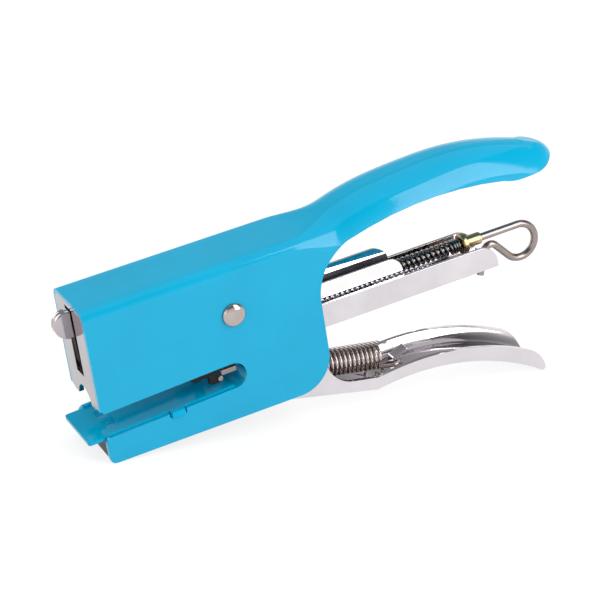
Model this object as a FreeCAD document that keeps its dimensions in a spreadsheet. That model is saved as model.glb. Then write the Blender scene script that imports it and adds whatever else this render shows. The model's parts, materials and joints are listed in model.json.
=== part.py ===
import FreeCAD, Part
import os
from math import asin, atan2, cos, degrees, radians, sin, sqrt, tan
import Sketcher
from FreeCAD import Placement, Rotation, Vector

# Small pliers-type hand stapler, in millimetres. Everything is drawn in the head's frame: X runs back from the
# nose along the head, Y across, Z up from the head's lower front edge. At the end the whole stapler is pitched
# so that it stands on the jaw's front and the lever's rear end, with the origin below the middle of its box.

sizes = {
    # body shell: one folded sheet
    "width": 19.0,               # across the side walls
    "wall": 1.0,                 # sheet thickness
    "head_height": 24.4,         # head's lower front edge to its flat top
    "head_fold": 2.6,            # outside radius of the folds along the head
    "head_length": 51.0,         # nose to where the handle starts to rise
    "body_length": 54.7,         # nose to the rear edge of the side walls
    "jaw_depth": 12.5,           # head's lower front edge down to the jaw's lower edge
    "jaw_round": 1.5,            # corners at the front of the jaw
    "heel_radius": 8.5,          # lower rear corner of the side walls
    "throat_gap": 6.1,           # height of the paper throat
    "throat_depth": 34.6,        # nose to the end of the throat
    "throat_slope": 0.038,       # rise of the throat per millimetre of depth
    # upper handle, part of the shell
    "crest_x": 88.5,             # highest point of the handle, behind the nose
    "crest_z": 30.5,
    "grip_arch": 78.0,           # radius of the handle's top line
    "grip_fold": 6.5,            # radius of the handle's shoulders
    "grip_end_radius": 8.5,      # round end of the handle, seen from above
    "handle_reach": 121.8,       # nose to the tip of the handle
    "rim_x": 88.0,               # highest point of the handle's lower rim
    "rim_z": 24.2,
    "rim_arch": 71.0,            # radius of the rim
    "rim_end_x": 110.0,          # where the rim levels out
    "rim_end_z": 20.0,
    "root_z": 7.5,               # where the rear edge starts to curve into the rim
    # main pivot
    "pivot_x": 34.1,
    "pivot_z": 12.6,
    "rivet_shank": 4.0,          # diameter
    "rivet_head": 5.4,           # diameter
    "rivet_dome": 1.3,           # height of the domed heads
    "sleeve_wall": 0.4,
    "leaf_sheet": 0.4,           # leaf spring over the magazine
    "leaf_rivet": 1.6,           # diameter
    "leaf_contact": 8.3,         # where the leaf bears on the magazine, behind the nose
    "leaf_tip": 5.7,
    # anvil and base pad in the jaw
    "anvil_sheet": 0.8,
    "anvil_top": 6.2,            # below the head's lower front edge
    "lip_reach": 3.6,            # in front of the nose
    "lip_round": 0.8,
    "curb_height": 0.45,         # upturned side edges
    "groove_x": 3.3,             # middle of the staple-forming grooves
    "groove_width": 2.6,
    "groove_depth": 0.45,
    "groove_span": 4.6,
    "hook_x": 17.3,              # tabs that hook over the side walls
    "hook_width": 3.4,
    "pad_length": 30.0,
    # front frame
    "plate_sheet": 1.2,
    "flange_sheet": 0.8,
    "flange_length": 51.0,
    "slot_bottom": 6.35,
    "slot_top": 22.5,
    "slot_gap": 0.9,             # beside the tongue
    "arch_half": 4.2,            # cut-out in the front plate's lower edge
    "arch_height": 3.3,
    "foot_width": 2.3,           # sloping outer ends of the front plate's lower edge
    "foot_rise": 0.9,
    # paper stops beside the magazine
    "stop_front": 21.5,
    "stop_length": 9.5,
    "stop_half": 6.3,            # inner faces, from the middle plane
    "stop_reach": 3.2,           # below the head's lower front edge
    # lever
    "lever_sheet": 1.0,
    "arm_boss": 6.0,             # radius around the pivot
    "channel_x": 42.4,           # where the channel's floor line leaves the body
    "channel_z": 13.8,
    "knee_x": 66.2,              # bend in the channel's floor line
    "knee_z": 19.9,
    "lever_end_x": 109.1,        # rear end of the lower handle
    "lever_end_z": 30.6,
    "lever_arch": 58.0,          # radius of the handle's lower line
    "channel_depth": 4.0,        # height of the handle's side walls
    "floor_start": 47.0,
    "tongue_half": 1.4,          # half of the two layers' thickness
    "tongue_x": -0.5,            # centre of the round end
    "tongue_z": 19.0,
    "tongue_radius": 3.15,
    "splay_start": 12.5,         # where the two layers part
    "squeeze_angle": 15.5,
    # magazine
    "magazine_width": 12.0,
    "magazine_sheet": 0.8,
    "magazine_height": 5.7,
    "magazine_end": 101.3,
    "magazine_round": 4.5,
    "hinge_x": 48.0,
    "hinge_z": -1.8,
    "hinge_pin": 2.4,
    "cover_half": 4.1,
    "cover_sheet": 0.6,
    "cover_top": 9.8,
    "cover_end": 78.0,
    "cover_round": 3.3,
    "roof_end": 46.0,
    # staples and blade
    "crown_half": 4.9,
    "leg_height": 4.3,
    "staple_wire": 0.5,
    "strip_length": 24.0,
    "blade_sheet": 0.8,
    # follower
    "rod_z": 5.5,
    "rod_wire": 1.8,
    "rod_start": 60.0,
    "loop_x": 110.3,
    "loop_radius": 4.2,
    "latch_radius": 1.8,
    "latch_run": 4.78,           # straight wire between the loop and the latch bend
    "foot_z": -3.8,
    "bush_x": 94.9,
    "bush_flange": 5.1,
    "bush_tube": 2.9,
    "bush_flange_thickness": 1.5,
    "bush_length": 5.5,
    "pusher_length": 10.0,
    "spring_wire": 0.65,
    "spring_mean": 3.95,         # mean diameter of the pusher spring
    "spring_pitch": 1.3,
    # return spring
    "return_wire": 1.0,
    "return_mean": 5.7,
    "return_pitch": 1.33,
    "return_front_x": 41.3,      # front and rear ends of the coil's axis
    "return_front_z": -8.8,
    "return_rear_x": 70.4,
    "return_rear_z": -14.7,
    "hook_reach": 2.2,           # coil to the middle of the front eye
    "return_eye": 2.45,          # mean radius of the rear eye
    "tab_half": 1.6,             # half width of the tabs that hold the spring
    # clearances
    "gap": 0.3,                  # between pieces that move past each other
    "running_fit": 0.05,         # radial, pins in holes
}

doc = FreeCAD.newDocument("stapler")
sheet = doc.addObject("Spreadsheet::Sheet", "sizes")
for row, (name, value) in enumerate(sizes.items(), start=1):
    sheet.set(f"A{row}", name)
    sheet.set(f"B{row}", str(value))
    sheet.setAlias(f"B{row}", name)
doc.recompute()


class Size:
    """A dimension that knows both its number and its formula in the sheet."""

    def __init__(self, value, text):
        self.value = value
        self.text = text

    def __add__(self, other):
        other = as_size(other)
        return Size(self.value + other.value, f"({self.text} + {other.text})")

    def __sub__(self, other):
        other = as_size(other)
        return Size(self.value - other.value, f"({self.text} - {other.text})")

    def __mul__(self, other):
        other = as_size(other)
        return Size(self.value * other.value, f"({self.text} * {other.text})")

    def __truediv__(self, other):
        other = as_size(other)
        return Size(self.value / other.value, f"({self.text} / {other.text})")

    def __neg__(self):
        return Size(-self.value, f"(-1 * {self.text})")

    def __radd__(self, other):
        return as_size(other) + self

    def __rsub__(self, other):
        return as_size(other) - self

    def __rmul__(self, other):
        return as_size(other) * self


def as_size(number):
    return number if isinstance(number, Size) else Size(float(number), str(number))


def root(size):
    return Size(sqrt(size.value), f"sqrt({size.text})")


class Sheet:
    """Reads a named cell as a Size: dim.width, dim.wall and so on."""

    def __getattr__(self, name):
        return Size(float(sheet.get(name)), f"sizes.{name}")


dim = Sheet()
half = dim.width / 2
inside = half - dim.wall

side_plane = Placement(Vector(0, 0, 0), Rotation(Vector(1, 0, 0), 90))      # sketch X, Y -> X, Z
top_plane = Placement(Vector(0, 0, 0), Rotation())                          # sketch X, Y -> X, Y
front_plane = Placement(Vector(0, 0, 0), Rotation(Vector(1, 1, 1), 120))    # sketch X, Y -> Y, Z


def bind(thing, **formulas):
    """Ties properties to the sheet; Base_x stands for Placement.Base.x."""
    for name, size in formulas.items():
        path = name.replace("Base_", "Placement.Base.")
        thing.setExpression(path, as_size(size).text)
    return thing


def outline(name, plane, points, closed=True):
    """Sketch through points (x, y) or (x, y, radius): a radius makes the edge to the next point an arc,
    which turns left where it is positive and right where it is negative."""
    sketch = doc.addObject("Sketcher::SketchObject", name)
    sketch.Placement = plane
    points = [[as_size(number) for number in point] for point in points]
    edges = len(points) if closed else len(points) - 1
    for number in range(edges):
        start, end = points[number], points[(number + 1) % len(points)]
        first = Vector(start[0].value, start[1].value, 0)
        last = Vector(end[0].value, end[1].value, 0)
        if len(start) == 2:
            sketch.addGeometry(Part.LineSegment(first, last))
            continue
        radius = abs(start[2].value)
        left = start[2].value > 0
        chord = last - first
        middle = (first + last) / 2
        offset = sqrt(max(radius ** 2 - (chord.Length / 2) ** 2, 0))
        across = Vector(-chord.y, chord.x, 0).normalize()
        centre = middle + across * (offset if left else -offset)
        bulge = middle + across * ((offset - radius) if left else (radius - offset))
        sketch.addGeometry(Part.Arc(first, bulge, last))
    for number in range(edges):
        start = points[number]
        if len(start) == 3:
            radius = start[2] if start[2].value > 0 else -start[2]
            index = sketch.addConstraint(Sketcher.Constraint("Radius", number, radius.value))
            sketch.renameConstraint(index, f"radius{number}")
            sketch.setExpression(f"Constraints.radius{number}", radius.text)
    # an arc drawn clockwise is stored the other way round, so its first point is its end
    reversed_edge = [len(points[n]) == 3 and points[n][2].value < 0 for n in range(edges)]
    for number in range(edges):
        following = (number + 1) % edges
        if not closed and following == 0:
            break
        here = 1 if reversed_edge[number] else 2
        there = 2 if reversed_edge[following] else 1
        sketch.addConstraint(Sketcher.Constraint("Coincident", number, here, following, there))
    for number, point in enumerate(points):
        edge = min(number, edges - 1)
        begin = 2 if reversed_edge[edge] else 1
        if number == edges:
            begin = 3 - begin
        for kind, axis, size in (("DistanceX", "x", point[0]), ("DistanceY", "y", point[1])):
            index = sketch.addConstraint(Sketcher.Constraint(kind, -1, 1, edge, begin, size.value))
            sketch.renameConstraint(index, f"{axis}{number}")
            sketch.setExpression(f"Constraints.{axis}{number}", size.text)
    return sketch


def disc(name, x, z, radius):
    """Circle in the side view, drawn as four arcs."""
    return outline(name, side_plane, [
        (x, z - radius, radius),
        (x + radius, z, radius),
        (x, z + radius, radius),
        (x - radius, z, radius),
    ])


def extrude(name, sketch, length, both_ways=True):
    solid = doc.addObject("Part::Extrusion", name)
    solid.Base = sketch
    solid.DirMode = "Normal"
    solid.Solid = True
    solid.Symmetric = both_ways
    return bind(solid, LengthFwd=length)


def box(name, x, y, z):
    """Box between two values of x, y and z."""
    solid = doc.addObject("Part::Box", name)
    (x0, x1), (y0, y1), (z0, z1) = [[as_size(v) for v in pair] for pair in (x, y, z)]
    bind(solid, Length=x1 - x0, Width=y1 - y0, Height=z1 - z0)
    return bind(solid, Base_x=x0, Base_y=y0, Base_z=z0)


def bar(name, x, half_width, z):
    """Box that is symmetric about the middle plane."""
    return box(name, x, (-as_size(half_width), half_width), z)


def rod_across(name, x, z, radius, half_length):
    """Cylinder along Y, symmetric about the middle plane."""
    solid = doc.addObject("Part::Cylinder", name)
    solid.Placement = Placement(Vector(0, 0, 0), Rotation(Vector(1, 0, 0), 90))
    half_length = as_size(half_length)
    return bind(solid, Radius=radius, Height=half_length * 2, Base_x=x, Base_y=half_length, Base_z=z)


def rod_along(name, x0, x1, z, radius):
    """Cylinder along X in the middle plane."""
    solid = doc.addObject("Part::Cylinder", name)
    solid.Placement = Placement(Vector(0, 0, 0), Rotation(Vector(0, 1, 0), 90))
    return bind(solid, Radius=radius, Height=as_size(x1) - x0, Base_x=x0, Base_z=z)


def join(name, *solids):
    result = doc.addObject("Part::MultiFuse", name)
    result.Shapes = list(solids)
    return result


def cut(name, solid, *tools):
    result = doc.addObject("Part::Cut", name)
    result.Base = solid
    result.Tool = tools[0] if len(tools) == 1 else join(f"{name}_tools", *tools)
    return result


def common(name, first, second):
    result = doc.addObject("Part::Common", name)
    result.Base = first
    result.Tool = second
    return result


nodes = []


def node(name, solid):
    """Marks a finished piece; its Label names its file."""
    solid.Label = name
    nodes.append(solid)
    return solid


def throat_line(x, below=0):
    """Height of the throat's upper edge at x, or of a line parallel to it."""
    return dim.throat_slope * x - below


# ---- body shell

# The top line is the head's flat top, a hollow curve and the handle's long arch, all tangent.
arch_centre_z = dim.crest_z - dim.grip_arch
rise_x = dim.crest_x - dim.head_length
rise_z = dim.head_height - arch_centre_z
hollow_radius = (rise_x * rise_x + rise_z * rise_z - dim.grip_arch * dim.grip_arch) / ((dim.grip_arch - rise_z) * 2)
far_x = dim.handle_reach + 3


def shell_block(name, inset, start_x, bottom):
    """Solid block under the shell's top, drawn in by inset all round; it starts at start_x and at bottom."""
    top = dim.head_height - inset
    arch = dim.grip_arch - inset
    hollow = hollow_radius + inset
    blend_x = dim.head_length + rise_x * (hollow / (hollow + arch))
    blend_z = top + hollow - (top + hollow - arch_centre_z) * (hollow / (hollow + arch))
    end_z = arch_centre_z + root(arch * arch - (far_x - dim.crest_x) * (far_x - dim.crest_x))
    corner = dim.jaw_round
    side = outline(f"{name}_side", side_plane, [
        (start_x, bottom + corner, corner),
        (start_x + corner, bottom),
        (far_x, bottom),
        (far_x, end_z, arch),
        (blend_x, blend_z, -hollow),
        (dim.head_length, top),
        (start_x, top),
    ])
    # seen from above: parallel sides, then a slight sweep in that is tangent to the round end
    wide = half - inset
    end = dim.grip_end_radius - inset
    centre_x = dim.handle_reach - dim.grip_end_radius
    sweep_x = dim.head_length + rise_x * (hollow / (hollow + arch))
    run = centre_x - sweep_x
    sweep = (run * run / (wide - end) + wide + end) / 2
    touch_x = sweep_x + sweep * run / (sweep - end)
    touch_y = wide - sweep + sweep * (sweep - wide) / (sweep - end)
    plan = outline(f"{name}_plan", top_plane, [
        (start_x, -wide),
        (sweep_x, -wide, sweep),
        (touch_x, -touch_y, end),
        (centre_x + end, 0, end),
        (touch_x, touch_y, sweep),
        (sweep_x, wide),
        (start_x, wide),
    ])
    tall = extrude(f"{name}_tall", plan, 100)
    blank = common(f"{name}_blank", extrude(f"{name}_wide", side, 40), tall)
    doc.recompute()
    fillet = doc.addObject("Part::Fillet", f"{name}_folded")
    fillet.Base = blank
    small = (dim.head_fold - inset).value
    large = (dim.grip_fold - inset).value
    fillet.Edges = fold_edges(blank.Shape, small, large)
    return fillet


def fold_edges(shape, small, large):
    """The long top edges, with the fold's radius growing where the handle starts to rise."""
    chosen = []
    start = dim.head_length.value
    for number, edge in enumerate(shape.Edges, start=1):
        first, last = edge.firstVertex().Point, edge.lastVertex().Point
        if edge.Length < 0.01 or edge.Orientation == "Internal":
            continue
        middle = edge.valueAt((edge.FirstParameter + edge.LastParameter) / 2)
        upright = abs(first.x - last.x) < 0.01 and abs(first.y - last.y) < 0.01
        if upright or middle.z < dim.rim_end_z.value or abs(middle.y) < 1:
            continue
        begin = edge.valueAt(edge.FirstParameter)
        finish = edge.valueAt(edge.LastParameter)
        if max(begin.x, finish.x) < start + 0.01:
            chosen.append((number, small, small))
        elif min(begin.x, finish.x) < start + 0.01:
            pair = (small, large) if begin.x < finish.x else (large, small)
            chosen.append((number, pair[0], pair[1]))
        else:
            chosen.append((number, large, large))
    return chosen


outer = shell_block("shell_outer", as_size(0), as_size(0), -dim.jaw_depth)
inner = shell_block("shell_inner", dim.wall, as_size(-4), -dim.jaw_depth - 4)

# Everything behind the side walls and below the handle's rim.
rim_centre_z = dim.rim_z - dim.rim_arch
reach = dim.rim_x - dim.body_length
lift = dim.root_z - rim_centre_z
root_radius = (dim.rim_arch * dim.rim_arch - reach * reach - lift * lift) / ((dim.rim_arch - reach) * 2)
stretch = dim.rim_arch / (dim.rim_arch - root_radius)
underside = outline("underside", side_plane, [
    (dim.body_length - dim.heel_radius, -dim.jaw_depth, dim.heel_radius),
    (dim.body_length, dim.heel_radius - dim.jaw_depth),
    (dim.body_length, dim.root_z, -root_radius),
    (dim.rim_x + (root_radius - reach) * stretch, rim_centre_z + lift * stretch, -dim.rim_arch),
    (dim.rim_end_x, rim_centre_z + root(dim.rim_arch * dim.rim_arch
                                        - (dim.rim_end_x - dim.rim_x) * (dim.rim_end_x - dim.rim_x))),
    (far_x + 1, dim.rim_end_z),
    (far_x + 1, -dim.jaw_depth - 6),
    (dim.body_length - dim.heel_radius, -dim.jaw_depth - 6),
])
throat_round = dim.throat_gap / 2
throat_centre_x = dim.throat_depth - throat_round
throat_centre_z = throat_line(throat_centre_x, throat_round)
throat = outline("throat", side_plane, [
    (-2, throat_line(-2)),
    (-2, -dim.throat_gap - dim.jaw_round),
    (0, -dim.throat_gap - dim.jaw_round, -dim.jaw_round),
    (dim.jaw_round, -dim.throat_gap),
    (throat_centre_x, throat_centre_z - throat_round, throat_round),
    (dim.throat_depth, throat_centre_z, throat_round),
    (throat_centre_x, throat_centre_z + throat_round),
])
notch_deep = throat_line(dim.hook_x, dim.throat_gap + 1)
notch = bar("hook_notches", (dim.hook_x - dim.hook_width / 2 - dim.gap, dim.hook_x + dim.hook_width / 2 + dim.gap),
            half + 1, (notch_deep, notch_deep + 3))
rivet_hole = rod_across("rivet_hole", dim.pivot_x, dim.pivot_z, dim.rivet_shank / 2, half + 1)
node("body_shell", cut("body_shell", outer, inner, extrude("underside_cut", underside, 40),
                       extrude("throat_cut", throat, 40), notch, rivet_hole))

# ---- anvil plate and base pad

eye_inner = dim.return_mean / 2 - dim.return_wire / 2
# the spring's front eye goes round this tab, which bears on its front
tab_x = dim.return_front_x - dim.hook_reach - root(eye_inner * eye_inner - dim.tab_half * dim.tab_half) + 0.05
anvil_rear = throat_centre_x + 0.6
lip_half = inside - 0.5
anvil_side = outline("anvil_side", side_plane, [
    (-dim.lip_reach, throat_line(-dim.lip_reach, dim.anvil_top + dim.anvil_sheet)),
    (anvil_rear, throat_line(anvil_rear, dim.anvil_top + dim.anvil_sheet)),
    (anvil_rear, throat_line(anvil_rear, dim.anvil_top)),
    (-dim.lip_reach, throat_line(-dim.lip_reach, dim.anvil_top)),
])
curb_rear = throat_centre_x
curb_side = outline("curb_side", side_plane, [
    (1, throat_line(1, dim.anvil_top)),
    (curb_rear, throat_line(curb_rear, dim.anvil_top)),
    (curb_rear, throat_line(curb_rear, dim.anvil_top - dim.curb_height)),
    (1, throat_line(1, dim.anvil_top - dim.curb_height)),
])
anvil_plan = outline("anvil_plan", top_plane, [
    (-dim.lip_reach, dim.lip_round - lip_half, dim.lip_round),
    (dim.lip_round - dim.lip_reach, -lip_half),
    (0.6, -lip_half),
    (0.6, -inside),
    (anvil_rear, -inside),
    (anvil_rear, inside),
    (0.6, inside),
    (0.6, lip_half),
    (dim.lip_round - dim.lip_reach, lip_half, dim.lip_round),
    (-dim.lip_reach, lip_half - dim.lip_round),
])
anvil_floor = common("anvil_floor", extrude("anvil_flat", anvil_side, dim.width), extrude("anvil_tall", anvil_plan, 60))
curbs = cut("curbs", extrude("curb_block", curb_side, inside * 2),
            bar("curb_space", (0, anvil_rear), inside - dim.anvil_sheet, (-10, 0)))
hook_base = throat_line(dim.hook_x, dim.anvil_top)
hook_block = bar("hook_block", (dim.hook_x - dim.hook_width / 2, dim.hook_x + dim.hook_width / 2),
                 half + 0.1, (hook_base - dim.anvil_sheet + 0.05, hook_base + 0.4))
hooks = cut("hooks", hook_block, bar("hook_space", (0, anvil_rear), inside - dim.anvil_sheet, (-10, 0)))
# at the throat's end the plate curls up behind the paper
curl_in = dim.anvil_top - throat_round
curl_out = curl_in + dim.anvil_sheet
curl_side = outline("curl_side", side_plane, [
    (throat_centre_x, throat_centre_z - curl_out, curl_out),
    (throat_centre_x + curl_out, throat_centre_z),
    (throat_centre_x + curl_in, throat_centre_z, -curl_in),
    (throat_centre_x, throat_centre_z - curl_in),
])
curl = extrude("anvil_curl", curl_side, inside * 2)
tail_top = throat_line(anvil_rear, dim.anvil_top)
tail_end = tab_x + dim.anvil_sheet
spring_tail = bar("spring_tail", (anvil_rear - 1, tail_end), dim.tab_half, (tail_top - dim.anvil_sheet, tail_top))
spring_tab = bar("spring_tab", (tab_x, tail_end), dim.tab_half, (dim.return_front_z - 1.6, tail_top))
grooves = []
groove_radius = (dim.groove_span * dim.groove_span / 4 + dim.groove_depth * dim.groove_depth) / (dim.groove_depth * 2)
for side, sign in (("near", -1), ("far", 1)):
    groove = rod_along(f"groove_{side}", dim.groove_x - dim.groove_width / 2, dim.groove_x + dim.groove_width / 2,
                       throat_line(dim.groove_x, dim.anvil_top + dim.groove_depth) + groove_radius, groove_radius)
    bind(groove, Base_y=(dim.groove_span / 2 + 0.3) * sign)
    grooves.append(groove)
node("anvil_plate", cut("anvil_plate", join("anvil_blank", anvil_floor, curbs, curl, hooks, spring_tail, spring_tab),
                        *grooves))

pad_side = outline("pad_side", side_plane, [
    (0.2, dim.jaw_round - dim.jaw_depth, dim.jaw_round),
    (0.2 + dim.jaw_round, -dim.jaw_depth),
    (dim.pad_length, -dim.jaw_depth),
    (dim.pad_length, throat_line(dim.pad_length, dim.anvil_top + dim.anvil_sheet)),
    (0.2, throat_line(0.2, dim.anvil_top + dim.anvil_sheet)),
])
node("base_pad", extrude("base_pad", pad_side, inside * 2))

# ---- front frame: slotted front plate with two side flanges

plate_top = dim.head_height - dim.wall
fold_inside = dim.head_fold - dim.wall
arch_radius = (dim.arch_half * dim.arch_half + dim.arch_height * dim.arch_height) / (dim.arch_height * 2)
plate_front = outline("plate_front", front_plane, [
    (-inside, dim.foot_rise),
    (dim.foot_width - inside, 0),
    (-dim.arch_half, 0, -arch_radius),
    (dim.arch_half, 0),
    (inside - dim.foot_width, 0),
    (inside, dim.foot_rise),
    (inside, plate_top - fold_inside, fold_inside),
    (inside - fold_inside, plate_top),
    (fold_inside - inside, plate_top, fold_inside),
    (-inside, plate_top - fold_inside),
])
plate = extrude("front_plate", plate_front, dim.plate_sheet, both_ways=False)
flange_rise = dim.throat_depth + 2
flange_side = outline("flange_side", side_plane, [
    (dim.plate_sheet / 2, throat_line(0) + 2.6),
    (flange_rise, throat_line(flange_rise) + 2.6),
    (flange_rise, dim.hinge_z - 2.6),
    (dim.flange_length, dim.hinge_z - 2.6),
    (dim.flange_length, plate_top - 4.4),
    (dim.plate_sheet / 2, plate_top - 4.4),
])
flange_inner = inside - dim.flange_sheet
flanges = cut("flanges", extrude("flange_block", flange_side, inside * 2),
              bar("flange_space", (-1, dim.flange_length + 1), flange_inner, (-20, 30)))
tongue_slot = bar("tongue_slot", (-1, dim.plate_sheet + 1), dim.tongue_half + dim.slot_gap,
                  (dim.slot_bottom, dim.slot_top))
pin_radius = dim.hinge_pin / 2
node("front_frame", cut("front_frame", join("frame_blank", plate, flanges), tongue_slot,
                        rod_across("frame_rivet_hole", dim.pivot_x, dim.pivot_z, dim.rivet_shank / 2, half),
                        rod_across("frame_pin_hole", dim.hinge_x, dim.hinge_z, pin_radius, half)))

# ---- paper stops: a plastic fin on the inside of each flange, with a leg down into the throat

leg_x = dim.stop_front + 4.8
stop_rear = dim.stop_front + dim.stop_length
stop_side = outline("stop_side", side_plane, [
    (dim.stop_front, throat_line(dim.stop_front, -4.6)),
    (dim.stop_front, throat_line(dim.stop_front, 1)),
    (dim.stop_front + 1.5, throat_line(dim.stop_front, 2.2)),
    (leg_x, throat_line(leg_x, 2)),
    (leg_x, -dim.stop_reach),
    (leg_x + 2.3, -dim.stop_reach),
    (leg_x + 2.5, throat_line(leg_x, 1.6)),
    (stop_rear, throat_line(stop_rear, 0.6)),
    (stop_rear, throat_line(stop_rear, -4.6)),
])
node("paper_stops", cut("paper_stops", extrude("stop_block", stop_side, flange_inner * 2),
                        bar("stop_space", (0, dim.flange_length), dim.stop_half, (-10, 20))))

# ---- main rivet, spacer sleeve and magazine pin

dome_radius = (dim.rivet_head * dim.rivet_head / 4 + dim.rivet_dome * dim.rivet_dome) / (dim.rivet_dome * 2)
rivet_outline = outline("rivet_outline", top_plane, [
    (0, -half - dim.rivet_dome, dome_radius),
    (dim.rivet_head / 2, -half),
    (dim.rivet_shank / 2, -half),
    (dim.rivet_shank / 2, half),
    (dim.rivet_head / 2, half, dome_radius),
    (0, half + dim.rivet_dome),
])
bind(rivet_outline, Base_x=dim.pivot_x, Base_z=dim.pivot_z)
rivet = doc.addObject("Part::Revolution", "main_rivet")
rivet.Source = rivet_outline
rivet.Axis = Vector(0, 1, 0)
rivet.Angle = 360
rivet.Solid = True
rivet.setExpression("Base.x", dim.pivot_x.text)
rivet.setExpression("Base.z", dim.pivot_z.text)
node("main_rivet", rivet)

lever_half = flange_inner - dim.gap - 0.1
arm_inner = lever_half - dim.lever_sheet
sleeve_bore = dim.rivet_shank / 2 + dim.running_fit
node("pivot_sleeve", cut("pivot_sleeve",
                         rod_across("sleeve_blank", dim.pivot_x, dim.pivot_z, sleeve_bore + dim.sleeve_wall,
                                    arm_inner - 0.1),
                         rod_across("sleeve_bore", dim.pivot_x, dim.pivot_z, sleeve_bore, half)))
node("magazine_pin", extrude("magazine_pin", disc("pin_outline", dim.hinge_x, dim.hinge_z, pin_radius), inside * 2))

# ---- lever: channel-shaped lower handle, two arms and the tongue


def channel_line(x, above=0):
    """Height of the channel's straight floor line at x."""
    slope = (dim.knee_z - dim.channel_z) / (dim.knee_x - dim.channel_x)
    return above - dim.channel_z - slope * (x - dim.channel_x)


arm_front = dim.throat_depth + 3.6
arm_rear = dim.hinge_x + dim.hinge_pin / 2 + 4.4
lip_z = channel_line(dim.knee_x, dim.channel_depth - 0.4)
lever_side = outline("lever_side", side_plane, [
    (dim.pivot_x - dim.arm_boss * 0.8, dim.pivot_z - dim.arm_boss * 0.6),
    (arm_front, -2),
    (arm_front, channel_line(arm_front)),
    (dim.knee_x, channel_line(dim.knee_x), -dim.lever_arch),
    (dim.lever_end_x, -dim.lever_end_z),
    (dim.lever_end_x + 0.5, 1.4 - dim.lever_end_z, 7),
    (dim.lever_end_x - 3.2, 7.1 - dim.lever_end_z, dim.lever_arch + 2),
    (dim.knee_x + 4.5, lip_z + 0.4),
    (dim.knee_x + 0.6, lip_z),
    (dim.knee_x - 5.7, lip_z + 1.3, -7.5),
    (arm_rear + 0.9, -7),
    (arm_rear, -3),
    (arm_rear, 3.5),
    (dim.pivot_x + 11.9, dim.pivot_z - 0.6),
    (dim.pivot_x + dim.arm_boss * 0.7, dim.pivot_z + dim.arm_boss * 0.7),
])
floor_arch = dim.lever_arch + dim.lever_sheet
lever_space = outline("lever_space", side_plane, [
    (dim.floor_start, -60),
    (dim.floor_start, channel_line(dim.floor_start, dim.lever_sheet)),
    (dim.knee_x, channel_line(dim.knee_x, dim.lever_sheet), -floor_arch),
    (dim.lever_end_x + 0.6, dim.lever_sheet - dim.lever_end_z),
    (dim.lever_end_x + 8, dim.lever_sheet - dim.lever_end_z),
    (dim.lever_end_x + 8, 40),
    (-20, 40),
    (-20, -60),
])
boss = rod_across("arm_boss", dim.pivot_x, dim.pivot_z, dim.arm_boss, lever_half)
arms = cut("lever_arms", join("lever_block", extrude("lever_wide", lever_side, lever_half * 2), boss),
           extrude("lever_hollow", lever_space, arm_inner * 2))

tongue_side = outline("tongue_side", side_plane, [
    (dim.tongue_x, dim.tongue_z + dim.tongue_radius, dim.tongue_radius),
    (dim.tongue_x - dim.tongue_radius, dim.tongue_z, dim.tongue_radius),
    (dim.tongue_x, dim.tongue_z - dim.tongue_radius),
    (3.5, dim.tongue_z - dim.tongue_radius),
    (12, dim.cover_top + 3.7),
    (dim.pivot_x - 7.1, dim.cover_top),
    (dim.pivot_x, dim.pivot_z - dim.arm_boss + 1),
    (dim.pivot_x, dim.pivot_z + dim.arm_boss - 1),
    (dim.pivot_x - 8, dim.tongue_z + 1.2),
])
splay_x = dim.pivot_x - 7.1
tongue_plan = outline("tongue_plan", top_plane, [
    (-6, -dim.tongue_half),
    (dim.splay_start, -dim.tongue_half),
    (splay_x, -lever_half),
    (dim.pivot_x, -lever_half),
    (dim.pivot_x, -arm_inner),
    (splay_x + 0.4, -arm_inner),
    (dim.splay_start + 0.4, 0),
    (splay_x + 0.4, arm_inner),
    (dim.pivot_x, arm_inner),
    (dim.pivot_x, lever_half),
    (splay_x, lever_half),
    (dim.splay_start, dim.tongue_half),
    (-6, dim.tongue_half),
])
tongue = common("tongue", extrude("tongue_wide", tongue_side, 30), extrude("tongue_tall", tongue_plan, 80))
eye_x = dim.return_rear_x + dim.return_eye + 0.4
eye_z = dim.return_rear_z - dim.return_mean / 2 + 0.2
rear_inner = dim.return_eye - dim.return_wire / 2
lug_x = eye_x + root(rear_inner * rear_inner - dim.tab_half * dim.tab_half) - 0.05     # its rear face bears on the spring's eye
lug_foot = channel_line(dim.knee_x, dim.lever_sheet / 2)
lug_side = outline("lug_side", side_plane, [
    (lug_x - 1.0, lug_foot),
    (lug_x, lug_foot),
    (lug_x, eye_z + 0.6),
    (lug_x + 3.4, eye_z + 1.9),
    (lug_x + 2.9, eye_z + 2.7),
    (lug_x - 1.0, eye_z + 1.2),
])
lug = extrude("spring_lug", lug_side, dim.tab_half * 2)

# The magazine pin passes through the arms, so each arm has a window as long as the pin's relative path.
swing = dim.squeeze_angle.value
pin_arm = Vector(dim.hinge_x.value - dim.pivot_x.value, 0, dim.hinge_z.value - dim.pivot_z.value)
pin_turned = Rotation(Vector(0, 1, 0), swing).multVec(pin_arm)
window_x = (dim.hinge_x + (dim.pivot_x + pin_turned.x)) / 2
window_z = (dim.hinge_z + (dim.pivot_z + pin_turned.z)) / 2
window_radius = pin_radius + (pin_turned - pin_arm).Length / 2 + 0.6
windows = rod_across("pin_windows", window_x, window_z, window_radius, half)
rivet_holes = []
for number, (x, z) in enumerate(((5.5, dim.tongue_z.value), (10.5, dim.tongue_z.value - 1.5))):
    rivet_holes.append((number, x, z))
clamp_x = dim.pivot_x - 12.1
clamp_z = dim.cover_top + 3.5
clamp_pin = dim.leaf_rivet / 2
tongue_holes = [rod_across("clamp_hole", clamp_x, clamp_z, clamp_pin, half)]
tongue_holes += [rod_across(f"tongue_hole{n}", x, z, 0.8, half) for n, x, z in rivet_holes]
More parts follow.
